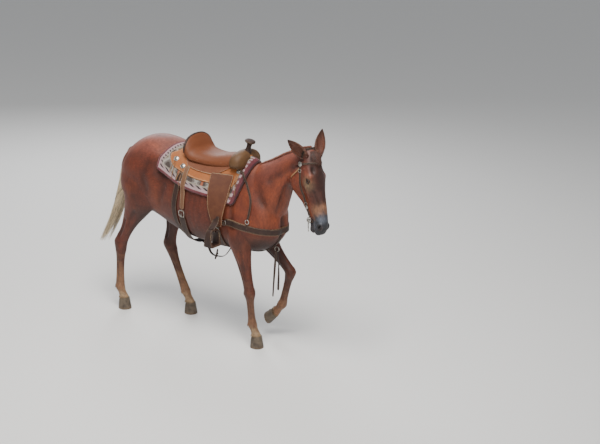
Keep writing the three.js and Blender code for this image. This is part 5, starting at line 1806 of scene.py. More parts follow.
def ringPath(place, facing, radius, count=28, square=2.0, stretch=1.0):
    facing = unit(facing)
    start = np.array([0, 0, 1.0]) if abs(facing[2]) < 0.9 else np.array([1.0, 0, 0])
    side = unit(np.cross(start, facing))
    up = np.cross(facing, side)
    a = np.arange(count) * 2 * math.pi / count
    c = np.sign(np.cos(a)) * np.abs(np.cos(a)) ** (2 / square)
    s = np.sign(np.sin(a)) * np.abs(np.sin(a)) ** (2 / square)
    return place + np.outer(c * radius, side) + np.outer(s * radius * stretch, up)


# a turned piece: radius and height pairs about an axis from a base
def lathed(name, profile, base, axis, sides=40):
    axis = unit(axis)
    start = np.array([0, 1.0, 0]) if abs(axis[1]) < 0.9 else np.array([1.0, 0, 0])
    side = unit(np.cross(axis, start))
    other = np.cross(axis, side)
    a = np.arange(sides) * 2 * math.pi / sides
    rings = []
    for r, h in profile:
        rings.append(base + axis * h + np.outer(np.cos(a) * r, side) + np.outer(np.sin(a) * r, other))
    return fixNormals(loft(name, rings))


def makeHorn():
    tilt = rad(14)
    axis = np.array([math.sin(tilt), 0, math.cos(tilt)])
    base = np.array([392, 0, 1546.0])
    profile = [(0.01, 0), (34, 0), (29, 8), (24, 18), (20.5, 30), (19, 44), (19.5, 60), (22, 74), (30, 79),
               (38, 84), (42, 88), (43, 92), (42, 98), (37, 101.5), (26, 103.4), (0.01, 104)]
    horn = lathed("horn_leather", profile, base, axis, 44)
    plainValues(horn)
    co = millimetres(horn) - base
    up = co @ axis
    pointValue(horn, "edge", np.abs(up - 92) + 1.0)
    around = np.arctan2(co[:, 1], co[:, 0])
    pointValue(horn, "along", around * 40)
    leathered(horn, "dark", "saddle_horn")


# a domed silver disc with a beaded rim
def stud(name, place, out, radius, thick):
    back = [(0.01, -3), (radius * 0.96, -3), (radius, 0)]
    dome = [(radius * r, thick * h) for r, h in
            ((1, 0.5), (0.93, 0.8), (0.84, 0.62), (0.76, 0.66), (0.5, 1.15), (0.2, 1.4))]
    return lathed(name, [*back, *dome, (0.01, thick * 1.45)], place, out, 32)


makeSeat()
makeHorn()
print("stage: seat, fork and horn made")


# straps round the trunk; each place is x and angle, and how far it hangs off
def trunkStrap(name, places, kind, *replaced, over=None, steps=6):
    width, thick, lift, leather = straps[kind]
    route, outs = [], []
    for x, angle, extra in fineRows([(*p, 0)[:3] for p in places], steps):
        place, out = trunkPoint(x, angle)
        if over is None or over(x, angle) is None:
            route.append(skinBelow(place, out) + out * (lift + extra))
        else:
            route.append(place + out * (over(x, angle) + extra))
        outs.append(out)
    return leathered(strapMesh(name, settled(np.array(route)), outs, width, thick), leather, *replaced)


# a route without small steps, its ends kept
def settled(route, times=3):
    route = route.copy()
    for _ in range(times):
        route[1:-1] = route[1:-1] * 0.5 + (route[:-2] + route[2:]) * 0.25
    return route


def covers(shape, x, angle, margin=4):
    return shape["rear"](angle) - margin < x < shape["front"](angle) + margin


# height of the skirts or the pad over the trunk, or none beyond them
def overLeather(x, angle):
    a = abs(angle)
    if a < skirtShape["to"] and covers(skirtShape, x, a):
        return skirtTop
    if a < padShape["to"] + 0.5 and covers(padShape, x, a):
        return padTop + (skirtTop - padTop) * (1 - smooth01(a, skirtShape["to"], skirtShape["to"] + 5))
    return None


def buckle(name, place, out, half, wire, *replaced, up=(0, 0, 1)):
    up = np.asarray(up)
    ring = tubeMesh(name + "_frame", ringPath(place, out, half, 36, 3.5), wire, 10, closed=True)
    path = [place + up * half * 0.1 + out * 2, place + out * 4, place - up * half + out * 5]
    tongue = tubeMesh(name + "_tongue", path, [2.6, 2.4, 1.8], 8)
    return silvered(join(name, [ring, tongue]), *replaced)


# the same places on the side of a sign
def turned(places, sign):
    return [(x, sign * angle, *rest) for x, angle, *rest in places]


# straps of the trunk: x, angle from the back, and how far they hang off
billetPlaces = [(-50, 40), (-47, 52), (-44, 66), (-38, 80), (-38, 97)]
flankPlaces = [(-94, 52), (-112, 78), (-128, 100), (-120, 120), (-98, 136), (-70, 150, 6)]
latigoPlaces = [(352, 54), (322, 76), (292, 96), (270, 112)]
ringSpot = (262, 113)
buckleSpot = (-38, 102)
cinchShape = {"from": 112, "to": 248, "lift": 2.4, "thick": 9, "rear": lambda a: 216, "front": lambda a: 308}
for side, sign in flanks.items():
    trunkStrap("billet_strap_" + side, turned(billetPlaces, sign), "billet", "billet_rear_" + side,
               over=overLeather)
    trunkStrap("flank_band_" + side, turned(flankPlaces, sign), "flank", "flank_strap_" + side,
               over=lambda x, a: 25 + 3 * (abs(a) < 60) if overLeather(x, a) else None)
    place, out = trunkPoint(buckleSpot[0], sign * buckleSpot[1])
    buckle("rear_buckle_" + side, skinBelow(place, out) + out * 14, out, 27, 4, "buckle_rear_" + side)
    trunkStrap("latigo_strap_" + side, turned(latigoPlaces, sign), "latigo", "latigo_" + side,
               over=lambda x, a: 26 if overLeather(x, a) else None)
cinchSag = 26
rearPlaces = [(-44, 106), (-38, 130, 6), (-34, 160, cinchSag), (-32, 180, cinchSag), (-34, 200, cinchSag),
              (-38, 230, 6), (-44, 254)]
trunkStrap("rear_cinch_strap", rearPlaces, "rearCinch", "cinch_rear")
cinch = sheetMesh("front_cinch_band", cinchShape, 16, 60, 10, cast=True)
leathered(cinch, "dark", "cinch_front")
for side, sign in flanks.items():
    place, out = trunkPoint(ringSpot[0], sign * ringSpot[1])
    path = ringPath(skinBelow(place, out) + out * 13, out, 36, 40, 2.4, 0.62)
    silvered(tubeMesh("cinch_ring_" + side, path, 4.2, 12, closed=True))

# the connector of the cinches hangs slack under the belly, with a loose end
slack = [[-34, 0, 727], [30, -6, 690], [76, -12, 640], [140, -14, 632], [206, -8, 652], [262, 0, 736]]
loose = [[134, -16, 690], [126, -18, 640], [112, -20, 597]]
slackRoute = fineRows(slack, 8)
looseRoute = fineRows(loose, 8)
keeperRoute = ringPath(np.array([129, -16, 640.0]), [1, 0, 0.2], 13, 16)[:15]
belly = join("belly_connector", [
    strapMesh("slack", slackRoute, np.tile([0.0, 0, -1], (len(slackRoute), 1)), 24, 5),
    strapMesh("loose", looseRoute, np.tile([0.0, 1, 0], (len(looseRoute), 1)), 16, 4),
    strapMesh("keeper", keeperRoute, np.tile([1.0, 0, 0], (len(keeperRoute), 1)), 12, 3, roundEnd=False)])
leathered(belly, "dark", "belly_strap")
print("stage: cinches and billets made")


# stirrups: a bent wooden frame bound in leather, hung so that the foot goes in along X
stirrup = {"x": 310, "y": 324, "top": 970, "half": 66, "height": 150, "wide": 84, "narrow": 50, "thick": 13}


def curve(p0, p1, p2, p3, count):
    t = np.linspace(0, 1, count)[:, None]
    return ((1 - t) ** 3 * p0 + 3 * (1 - t) ** 2 * t * p1 + 3 * (1 - t) * t ** 2 * p2 + t ** 3 * p3)


def makeStirrup(side, sign):
    s = stirrup
    half, height, r = s["half"] - s["thick"] / 2, s["height"] - s["thick"], s["thick"] / 2
    bends = ((-half * 0.5, -r), (-half, -r - 8), (-half, -height * 0.6), (-half * 0.86, -height))
    left = curve(*np.array(bends, float), 22)
    right = left[::-1] * [-1, 1]
    tread = np.stack([np.linspace(-half * 0.86, half * 0.86, 14)[1:-1], np.full(12, -height)], 1)
    top = np.stack([np.linspace(half * 0.5, -half * 0.5, 10)[1:-1], np.full(8, -r)], 1)
    path = np.concatenate([left, tread, right, top])
    rings = []
    ways = unit(np.roll(path, -1, 0) - np.roll(path, 1, 0))
    for (a, b), way in zip(path, ways):
        out = np.array([way[1], -way[0]])
        low = smooth01(-b, height * 0.3, height)
        broad = lerp(s["narrow"], s["wide"], low) / 2
        section = []
        for k in range(20):
            g = k / 20 * 2 * math.pi
            c, d = math.cos(g), math.sin(g)
            wx = math.copysign(abs(c) ** 0.35, c) * broad
            wo = math.copysign(abs(d) ** 0.5, d) * r
            flat = np.array([a, b]) + out * wo
            section.append([s["x"] + wx, sign * s["y"] + flat[0], s["top"] + flat[1]])
        rings.append(np.array(section))
    bow = hoop("stirrup", rings)
    co = millimetres(bow)
    reach = np.interp(co[:, 2], [s["top"] - s["height"], s["top"]], [42, 25])
    pointValue(bow, "edge", np.clip(reach - np.abs(co[:, 0] - s["x"]), 0.5, 40))
    pointValue(bow, "along", co[:, 2] + co[:, 1])
    bolt = lathed("bolt", [(0.01, -34), (7, -34), (7, 34), (0.01, 34)],
                  np.array([s["x"], sign * s["y"], s["top"] + 2.0]), [0, 1, 0], 16)
    plainValues(bolt)
    # neck of the fender: leaves it, bends out over the top bar of the stirrup and turns back under
    drops = [(-52, 92), (-49, 66), (-40, 42), (-25, 24), (-8, 12), (3, 0), (2, -14), (-10, -22), (-28, -12)]
    neck = fineRows([[s["x"] - 4, sign * (s["y"] + a), s["top"] + b] for a, b in drops], 6)
    around = unit(np.gradient(neck, axis=0))
    outs = np.stack([0 * neck[:, 0], -around[:, 2] * sign, around[:, 1] * sign], 1)
    loop = strapMesh("hanger", neck, outs, 62, 6, roundEnd=False)
    whole = join("stirrup_frame_" + side, [bow, loop, bolt])
    leathered(whole, "dark", "stirrup_" + side)


for side, sign in flanks.items():
    makeStirrup(side, sign)


# angle from the back at which the trunk has a level
def angleAt(x, level):
    angles = np.linspace(5, 120, 231)
    return np.interp(-level, -trunkPlaces(x, np.radians(angles))[:, 2], angles)


collarEnd = 118
collarTurns = np.linspace(-collarEnd, collarEnd, 61)


def chestPlace(turn, level):
    inside = np.array([480, 0, level])
    outward = np.array([math.cos(rad(turn)), math.sin(rad(turn)), 0])
    return castOn(inside + outward * 600, inside)


# a strap laid along pairs of a place and its way out, never under the skin
def layOnSkin(name, pairs, kind, *replaced, **more):
    width, thick, lift, leather = straps[kind]
    route = settled(np.array([p for p, _ in pairs]), 4)
    outs = unit(settled(np.array([o for _, o in pairs]), 4))
    lifted = []
    for p, o in zip(route, outs):
        gap = (p - nearSkin(p)) @ o
        lifted.append(p + o * (lift + max(0, -gap)))
    return leathered(strapMesh(name, lifted, outs, width, thick, **more), leather, *replaced)


# breast collar with its rings, tugs and strap to the cinch
pairs = [chestPlace(t, lerp(966, 1016, abs(t) / collarEnd)) for t in collarTurns]
layOnSkin("breast_collar_strap", pairs, "collar", "breast_collar", roundEnd=False)
layOnSkin("breast_collar_lining", pairs, "lining", roundEnd=False)
for side, sign in flanks.items():
    flank = lambda x, level: castOn([x, sign * 600, level], [x, 0, level])
    hit, out = flank(561, 1052)
    ring = tubeMesh("collar_ring_wire_" + side, ringPath(hit + out * 9, out, 17, 32), 3.2, 10, closed=True)
    silvered(ring, "collar_ring_" + side)
    rows = [[561, 1070], [566, 1130], [566, 1190], [548, 1240], [512, 1292], [474, 1342], [436, 1394]]
    places = [(x, sign * angleAt(x, level)) for x, level in rows] + [(400, sign * 33.5)]
    trunkStrap("collar_tug_strap_" + side, places, "tug", "collar_tug_" + side, over=overLeather, steps=8)
    low = fineRows([[561, 1036], [556, 1010], [548, 990]], 5)
    layOnSkin("collar_drop_" + side, [flank(*r) for r in low], "tug")
    back = fineRows([[372, 1012], [344, 1004], [318, 982], [292, 956]], 6)
    layOnSkin("collar_link_" + side, [flank(*r) for r in back], "link")
    hit, out = flank(352, 1008)
    buckle("collar_buckle_" + side, hit + out * 13, out, 18, 2.8, up=unit([1, 0, 0.2]))
breastRows = [[733, 922], [712, 868], [676, 830], [620, 797], [540, 764], [440, 752], [330, 750]]
breastRows = fineRows(breastRows, 6)
way = unit(np.gradient(breastRows, axis=0))
pairs = []
for (x, z), (dx, dz) in zip(breastRows, way):
    out = unit(np.array([-dz, 0, dx]))
    out = -out if out[2] > 0 else out
    pairs.append(castOn(np.array([x, 0, z]) + out * 60, np.array([x, 0, z]) - out * 80))
layOnSkin("breast_strap_leather", pairs, "breast", "breast_strap")
path = ringPath(np.array([706, 0, 808.0]), [0, 1, 0], 20, 36)
silvered(tubeMesh("chest_ring_wire", path, 3.4, 10, closed=True), "chest_ring")
hanging = {
    "a": ([[704, -7, 798], [702, -10, 720], [700, -12, 600], [695, -12, 408]], -1),
    "b": ([[707, 7, 798], [716, 10, 720], [724, 10, 600], [726, 10, 462]], 1),
}
for name, (places, facing) in hanging.items():
    route = fineRows(places, 12)
    t = np.linspace(0, 1, len(route))
    outs = unit(np.stack([0.2 + 0.5 * np.sin(t * 5), np.full_like(t, facing), 0 * t], 1))
    leathered(strapMesh("hanging_end_" + name, route, outs, 18, 4), "black", "hanging_strap_" + name)
print("stage: collar made")


# bridle: laid on the head by places u, v of its side or turns round it
def sidePlace(u, v, sign):
    return castOn(headPoint(u, v, sign * 400), headPoint(u, v, 0))


def roundPlace(u, turn, reach=400):
    outside = headPoint(u, -90 + reach * math.cos(rad(turn)), reach * math.sin(rad(turn)))
    return castOn(outside, headPoint(u, -90, 0))


rosette = (74, -100)


def headBand(name, rows, kind, *replaced, reach=400):
    layOnSkin(name, [roundPlace(u, turn, reach) for u, turn in rows], kind, *replaced, roundEnd=False)


for side, sign in flanks.items():
    rows = fineRows([rosette, (150, -122), (240, -140), (330, -150), (434, -155), (520, -148)], 8)
    route = [sidePlace(u, v, sign) for u, v in rows]
    layOnSkin("cheek_leather_" + side, route, "cheek", "cheek_strap_" + side)
    for k, (place, size) in enumerate(((rosette, 19), ((440, -155), 12))):
        hit, out = sidePlace(*place, sign)
        silvered(stud("bridle_stud_%s_%d" % (side, k), hit + out * 7, out, size, 4.5))
    for k, (u, v) in enumerate(((128, -117), (410, -154))):
        hit, out = sidePlace(u, v, sign)
        path = ringPath(hit + out * 8, out, 13, 28, 4.0, 0.9)
        silvered(tubeMesh("cheek_buckle_%s_%d" % (side, k), path, 1.9, 8, closed=True))
crownRows = [(-36 + 102 * (abs(t) / 90) ** 5, t) for t in np.linspace(-84, 84, 37)]
browRows = [(lerp(100, 78, abs(t) / 80), t) for t in np.linspace(-82, 82, 31)]
throatRows = [(lerp(205, 92, abs(t - 180) / 74), t) for t in np.linspace(106, 254, 41)]
curbRows = [(566, t) for t in np.linspace(116, 244, 25)]
headBand("crown_leather", crownRows, "crown", "bridle_crown", "bridle_crown_end", reach=118)
headBand("brow_leather", browRows, "brow", "browband")
headBand("throat_leather", throatRows, "throat", "throatlatch", reach=240)
headBand("curb_leather", curbRows, "curb", "curb_strap")
for side, sign in flanks.items():
    shank = fineRows([headPoint(u, v, y * sign) for u, v, y in
                      ((508, -142, 42), (546, -156, 50), (594, -172, 50), (638, -188, 42))], 8)
    radii = np.interp(np.linspace(0, 1, len(shank)), [0, 0.3, 0.9, 1], [3, 5, 3.6, 5])
    arm = tubeMesh("shank", shank, radii, 12)
    facing = headWay(0, 0, sign)
    ring = tubeMesh("ring", ringPath(headPoint(546, -152, 52 * sign), facing, 19, 36), 3.2, 10, closed=True)
    boss = stud("boss", headPoint(546, -152, 55 * sign), facing, 11, 4)
    silvered(join("bit_metal_" + side, [arm, ring, boss]), "bit_" + side)
print("stage: bridle made")


# small saddle trim: silver conchos and leather strings
conchoPlaces = [(-178, 41), (-96, 44), (398, 33), (330, 46)]
for side, sign in flanks.items():
    for k, (x, angle) in enumerate(conchoPlaces):
        plain = k == 3  # a smaller one without strings
        place, out = trunkPoint(x, sign * angle, 32)
        silvered(stud("concho_%s_%d" % (side, k), place, out, 17 if plain else 21, 6))
        for j, (aside, length) in enumerate(() if plain else ((-7, 0.9), (8, 1.25))):
            rows = []
            for t in np.linspace(0, 1, 14):
                down = sign * angle + (4 + 17 * length * t) * sign
                top = skirtTop if abs(down) < skirtShape["to"] else padTop
                rows.append(trunkPoint(x + aside * (1 + 1.4 * t) + 3 * math.sin(t * 6 + j), down,
                                       top + 3 + 3 * math.sin(t * 3)))
            places, outs = np.array(rows).transpose(1, 0, 2)
            string = strapMesh("string_%s_%d_%d" % (side, k, j), settled(places, 2), outs, 7, 2.6)
            leathered(string, "billet" if j else "throat", slotName="tan_leather")
print("stage: saddle trim made")


# eyes: a wide dark pupil in a brown iris, wet over all
def eyeMaterial():
    paint, n, shader = newMaterial("wet_eye", Roughness=0.12, Specular_IOR_Level=0.25)
    shader.inputs["Coat Weight"].default_value = 0.45
    shader.inputs["Coat Roughness"].default_value = 0.02
    tone = n.attribute("tone", "Color")
    n.feed(shader, "Base Color", tone)
    return paint


def makeEyes():
    paint = eyeMaterial()
    for name, sign in flanks.items():
        ball = fixNormals(headBall("eyeball_" + name, sided(eyePlace, sign), (eyeRadius,) * 3, 0, 72))
        local = inHead(millimetres(ball)) - np.array(sided(eyePlace, sign))
        u, v, w = local.T
        w = w * sign / eyeRadius
        pupil = np.hypot(u / 11.5, v / 7.0)
        iris = np.hypot(u, v) / 15.5
        tone = np.tile(linear((60, 44, 38)), (len(u), 1))
        brown = linear((104, 60, 30)) * (0.6 + 0.4 * np.cos(np.arctan2(v, u) * 24)[:, None] ** 2)
        inner = (1 - smooth01(iris, 0.92, 1.05))[:, None]
        tone = tone * (1 - inner) + brown * inner
        dark = (1 - smooth01(pupil, 0.85, 1.1))[:, None]
        tone = tone * (1 - dark) + linear((8, 7, 9)) * dark
        paintPoints(ball, "tone", tone)
        co = millimetres(ball)
        out = unit(co - headPoint(*sided(eyePlace, sign)))
        cornea = 1.3 * smooth01(w, 0.7, 0.95)
        setPoints(ball, metres(co + out * cornea[:, None]))
        finishPiece(ball, "eye", "eye_" + name, paint=paint)


# the rim of the opening between the lids, an almond on the eyeball
def lidPath(sign, size, lift):
    rows = []
    for a in np.arange(36) / 36 * 2 * math.pi:
        c, d = math.cos(a), math.sin(a)
        u = 22 * size * c
        v = 15.5 * size * (abs(d) ** 1.25) * math.copysign(1, d)
        depth = math.sqrt(max((eyeRadius + lift) ** 2 - u * u - v * v, 30))
        along = u * math.cos(rad(eyeNod)) + v * math.sin(rad(eyeNod))
        above = v * math.cos(rad(eyeNod)) - u * math.sin(rad(eyeNod))
        rows.append(headPoint(eyePlace[0] + along, eyePlace[1] + above, (eyePlace[2] + depth) * sign))
    return np.array(rows)


def makeLids():
    for side, sign in flanks.items():
        rim = tubeMesh("lid_rim", lidPath(sign, 1.0, 1.4), 2.8, 10, closed=True)
        thickness = np.interp(np.linspace(0, 1, 19), [0, 0.3, 0.7, 1], [1.4, 4.2, 4.2, 1.4])
        fold = tubeMesh("lid_fold", lidPath(sign, 1.22, 3.6)[:19], thickness, 10)
        pouch = tubeMesh("lid_pouch", lidPath(sign, 1.2, 2.4)[18:], thickness[:18] * 0.7, 10)
        tinted(join("eyelids_" + side, [rim, fold, pouch]), (40, 27, 22))


makeEyes()
makeLids()


def makeNostrils():
    turn = rad(nostril["turn"])
    long, wide = nostril["rim"]
    for side, sign in flanks.items():
        path = []
        for a in np.arange(32) / 32 * 2 * math.pi:
            c, d = math.cos(a), math.sin(a)
            u = nostril["place"][0] + long * c * math.cos(turn) - wide * d * math.sin(turn)
            v = nostril["place"][1] - long * c * math.sin(turn) - wide * d * math.cos(turn)
            hit, _ = castOn(headPoint(u, v, 160 * sign), headPoint(u, v, 20 * sign))
            depth = abs(inHead(hit)[2])
            path.append(headPoint(u, v, max(depth, 50) * sign) if depth < 50 else hit)
        path = np.array(path)
        for _ in range(3):
            path = path * 0.5 + (np.roll(path, 1, 0) + np.roll(path, -1, 0)) * 0.25
        tinted(tubeMesh("nostril_rim_" + side, path, 3.0, 10, closed=True), (44, 41, 42))


makeNostrils()
print("stage: eyes, lids and nostrils made")


# hooves: a wall with growth rings, a coronet, heels and a sole with its frog
hoofHalf = 54


def hoofMaterial():
    paint, n, shader = newMaterial("hoof_horn", Specular_IOR_Level=0.4)
    rise = n.attribute("rise")
    even = n.stretched((1, 1, 1))
    drift = n.plus(rise, n.times(n.noise(even, 22.0, 2.0), 5.0))
    rings = n.math("SINE", n.times(drift, 0.95))
    fibre = n.noise(n.stretched((1, 1, 0.08)), 420.0, 2.0)
    base = n.ramp(n.noise(even, 30.0, 4.0), (0.3, rgba((70, 60, 50))), (0.7, rgba((134, 118, 98))))
    banded = n.mix(n.math("MULTIPLY_ADD", rings, 0.07), base, rgba((66, 55, 45)))
    low = n.ramp(n.times(rise, 0.03), (0.0, 0.55), (0.7, 0.0))
    muddy = n.mix(low, banded, rgba((116, 92, 68)))
    light = n.ramp(fibre, (0.3, 0.85), (0.7, 1.08))
    n.feed(shader, "Base Color", n.mix(1.0, muddy, light, "MULTIPLY"))
    n.feed(shader, "Roughness", n.ramp(fibre, (0.2, 0.4), (0.8, 0.65)))
    bumpFrom(n, shader, n.plus(n.times(rings, 0.5), n.times(fibre, 0.35)), 0.5, 0.0014)
    return paint


def makeHoof(name, leg, paint):
    toe, heel = np.array(leg["toe"], float), np.array(leg["heel"], float)
    sole, forward = (toe + heel) / 2, (toe - heel) / 2
    top = np.array(leg["joints"][-1], float) - forward * 0.04
    axis = unit(top - sole)
    table = fineRows([[0, 1, 1], [0.12, 1, 1], [0.6, 0.9, 0.9], [0.93, 0.82, 0.835], [1.0, 0.78, 0.8]], 5)
    count = 56
    rings, rises = [], []
    for t, length, width in table:
        centre = sole * (1 - t) + top * t
        up = forward * length + axis * t * 8
        down = -forward * length - axis * t * 10
        loop = ringAt((centre, up, down, np.array([0, hoofHalf * width, 0]), 2.1, 2.6), turns(count))
        rings.append(loop)
        rises += [t * 92] * count
    # under the foot: rim, sole pushed in, frog raised in its middle
    underside, way = [], unit(forward)
    for share, deep in ((0.97, 0.0), (0.86, 0.0), (0.82, 4.0), (0.5, 6.5), (0.2, 6.5)):
        loop = sole + (rings[0] - sole) * share + axis * deep
        ahead = ((loop - sole) @ way) / np.linalg.norm(forward)
        aside = np.abs(loop[:, 1] - sole[1]) / hoofHalf
        frogHalf = 0.18 + 0.2 * np.clip(-ahead, 0, 1)
        frog = smooth01(-ahead, -0.35, 0.2) * (1 - smooth01(aside, frogHalf, 0.42))
        loop = loop - axis * (frog * min(deep, 5.0))[:, None]
        underside.append(loop)
    whole = underside[::-1] + rings
    hoof = loft("hoof_horn_" + name, whole)
    extra = len(hoof.data.vertices) - len(rises) - len(underside) * count
    pointValue(hoof, "rise", [0.0] * len(underside) * count + rises + [0.0, 92.0][:extra])
    fixNormals(hoof)
    heels = []
    for s in sides:  # soft bulbs of the heel
        at = heel * 0.42 + top * 0.58 - forward * 0.2 + np.array([0, 17 * s, 0]) + axis * 2
        heels.append(fixNormals(ballAt("bulb", at, (14, 15, 17))))
    tinted(join("heel_bulbs_" + name, heels), (112, 92, 72), "leg_coat")
    finishPiece(hoof, "hoof_horn", "hoof_" + name, paint=paint)


def ballAt(name, place, halves, count=20):
    angles = turns(count)
    rings = []
    for k in range(1, count // 2):
        polar = math.pi * k / (count // 2)
        ring = np.stack([math.sin(polar) * np.cos(angles), math.sin(polar) * np.sin(angles),
                         np.full(count, math.cos(polar))], -1)
        rings.append(place + ring * halves)
    return loft(name, rings)


hoofPaint = hoofMaterial()
for name, leg in legs.items():
    makeHoof(name, leg, hoofPaint)
print("stage: hooves made")


# short coat: thin flat tufts all over, longest at the belly, chest, buttocks and backs of the legs
coat = {"count": 60000, "pieces": 5, "width": (1.0, 1.9), "seed": 21}


# random places on the skin, more of them where a weight is high
def scattered(count, weight, rng):
    tris = triangles(body)
    co = millimetres(body)
    out = normals(body)
    corners = co[tris]
    area = np.linalg.norm(np.cross(corners[:, 1] - corners[:, 0], corners[:, 2] - corners[:, 0]), axis=1)
    chance = area * weight(corners.mean(1), out[tris].mean(1))
    pick = rng.choice(len(tris), count, p=chance / chance.sum())
    a, b = rng.random(count), rng.random(count)
    over = a + b > 1
    a, b = np.where(over, 1 - a, a), np.where(over, 1 - b, b)
    share = np.stack([1 - a - b, a, b], 1)[..., None]
    return (corners[pick] * share).sum(1), unit((out[tris[pick]] * share).sum(1))


# way of the hair: back along the trunk, down the legs and neck, down the face
def lieOfHair(places, out):
    x, _, z = places.T
    way = np.tile([-0.8, 0.0, -0.6], (len(places), 1))
    low = smooth01(-z, -860, -620)[:, None]
    way = way * (1 - low) + np.array([-0.15, 0, -1.0]) * low
    u = inHead(places)[:, 0]
    onHead = (smooth01(x, 900, 960) * smooth01(u, -30, 30))[:, None]
    along = unit(headWay(100, 0, 0))
    way = way * (1 - onHead) + along * onHead
    way = way - out * (way * out).sum(1)[:, None]
    return unit(way + 1e-6)


def hairLength(places, out):
    x, _, z = places.T
    u = inHead(places)[:, 0]
    length = np.full(len(places), 11.0)
    length += 6 * smooth01(-out[:, 2], 0.3, 0.9) * (1 - smooth01(z, 900, 1050))
    length += 4 * smooth01(-x, 640, 760) * smooth01(z, 700, 900)
    length -= 5 * (1 - smooth01(z, 420, 620))
    length += 5 * smooth01(-out[:, 0], 0.2, 0.8) * (1 - smooth01(z, 480, 600))
    onHead = smooth01(x, 900, 960) * smooth01(u, -30, 30)
    return length * (1 - onHead) + (6.5 - 2.5 * smooth01(u, 430, 560)) * onHead


def makeCoat():
    rng = np.random.default_rng(coat["seed"])
    hidden = lambda p: ((p[:, 0] > -250) & (p[:, 0] < 430) & (p[:, 2] > 1300)
                        | (np.linalg.norm(p - headPoint(*eyePlace), axis=1) < 26)
                        | (np.linalg.norm(p - headPoint(*sided(eyePlace, -1)), axis=1) < 26))
    weight = lambda p, o: np.where(hidden(p), 0.0, 1 + 2.2 * (p[:, 0] > 900) + 0.8 * (p[:, 2] < 560))
    roots, outs = scattered(coat["count"], weight, rng)
    ways = lieOfHair(roots, outs)
    sideways = np.cross(outs, ways)
    ways = unit(ways + sideways * rng.normal(0, 0.22, (len(roots), 1)))
    long = hairLength(roots, outs) * rng.uniform(0.7, 1.25, len(roots))
    routes = combed(roots, outs, ways, long, long * rng.uniform(0.03, 0.13, len(roots)), steps=3)
    # the tufts take the skin's colours, painted highlights and shade included
    tones = coatColour(roots, outs)
    tones = np.clip(tones * rng.uniform(0.72, 1.3, (len(roots), 1)), 0, 1)
    widths = rng.uniform(*coat["width"], len(roots)) * np.clip(long / 10, 0.5, 1)
    spots = unwrapped(roots)
    order = np.argsort(-roots[:, 0], kind="stable")
    for k, part in enumerate(np.array_split(order, coat["pieces"])):
        tuftPiece("coat_%d" % k, routes[part], outs[part], widths[part], [1, 0.8, 0.08], tones[part],
                  spots[part], 0.3)
    print("stage: coat made,", len(roots), "tufts")


makeCoat()


# forelock: dark hair that falls from between the ears to the browband
forelock = {"tufts": 800, "steps": 8, "reach": (70, 146), "width": (2.0, 3.8), "seed": 31}


def makeForelock():
    rng = np.random.default_rng(forelock["seed"])
    n, m = forelock["tufts"], forelock["steps"]
    routes, outs, roots = [], [], []
    for _ in range(n):
        root = np.clip(rng.normal(4, 11), -24, 28)
        tip = root * 1.3 + rng.normal(0, 6)
        reach = rng.uniform(*forelock["reach"]) * (1 - 0.012 * abs(root))
        row, ways = [], []
        for t in np.linspace(0, 1, m):
            hit, out = roundPlace(lerp(-16, reach, t), lerp(root, tip, t), 150)
            bulge = 6 * math.sin(math.pi * t) * rng.uniform(0.5, 1.3)
            row.append(hit + out * (lerp(-2, 5, math.sqrt(t)) + bulge))
            ways.append(out)
        row = settled(np.array(row), 2)
        routes.append(row)
        outs.append(ways)
        roots.append(row[0])
    routes, outs = np.array(routes), np.array(outs)
    shade = rng.uniform(0, 1, (n, 1))
    tones = toned((40, 25, 20), (84, 46, 32), shade)
    profile = np.interp(np.linspace(0, 1, m), [0, 0.2, 0.7, 1], [0.6, 1, 0.8, 0.05])
    widths = rng.uniform(*forelock["width"], n)
    tuftPiece("forelock", routes, outs, widths, profile, tones, unwrapped(roots), 0.4)


makeForelock()


# hair of the ears: a fringe along both rims, and a soft lining that leaves the cup
earHair = {"tufts": 1100, "steps": 5, "length": (7, 17), "width": (1.0, 2.0), "seed": 41}


def makeEarHair():
    rng = np.random.default_rng(earHair["seed"])
    n, m = earHair["tufts"], earHair["steps"]
    for name, ear in ears.items():
        _, axis, front, side = earAxes(ear)
        t = rng.uniform(0.03, 0.9, n)
        edge = rng.choice([-1.0, 1.0], n)
        depth = np.where(rng.random(n) < 0.5, 0.0, rng.uniform(0, 1, n))
        turn = edge * (1 - 0.75 * depth)
        roots = np.array([earPlace(ear, a, b, 2.0) for a, b in zip(t, turn)])
        inward = -side * edge[:, None] * 0.7 + front * 0.6
        ways = unit(inward + axis * rng.uniform(0.5, 1.3, (n, 1)) + rng.normal(0, 0.12, (n, 3)))
        long = rng.uniform(*earHair["length"], n) * np.interp(t, [0, 0.3, 0.9], [1.2, 1.0, 0.55])
        s = np.linspace(0, 1, m)[None, :, None]
        routes = roots[:, None] + ways[:, None] * long[:, None, None] * s
        shade = rng.uniform(0, 1, (n, 1))
        tones = toned((66, 38, 28), (136, 96, 74), shade)
        u, v, wide, high = earTile
        spots = np.stack([u + wide * (0.5 * t + (0.5 if name == "left" else 0)),
                          v + high * (turn / 2 + 0.5) * 0.98], -1)
        widths = rng.uniform(*earHair["width"], n)
        tuftPiece("ear_hair_" + name, routes, np.tile(front, (n, 1)), widths, [1, 0.9, 0.7, 0.4, 0.05], tones,
                  spots, 0.3)


makeEarHair()


# lashes, whiskers, hair of the fetlocks and round the coronets
fineHair = {
    "lashes": 60, "whiskers": 46, "fetlock": 170, "coronet": 260, "seed": 51,
}


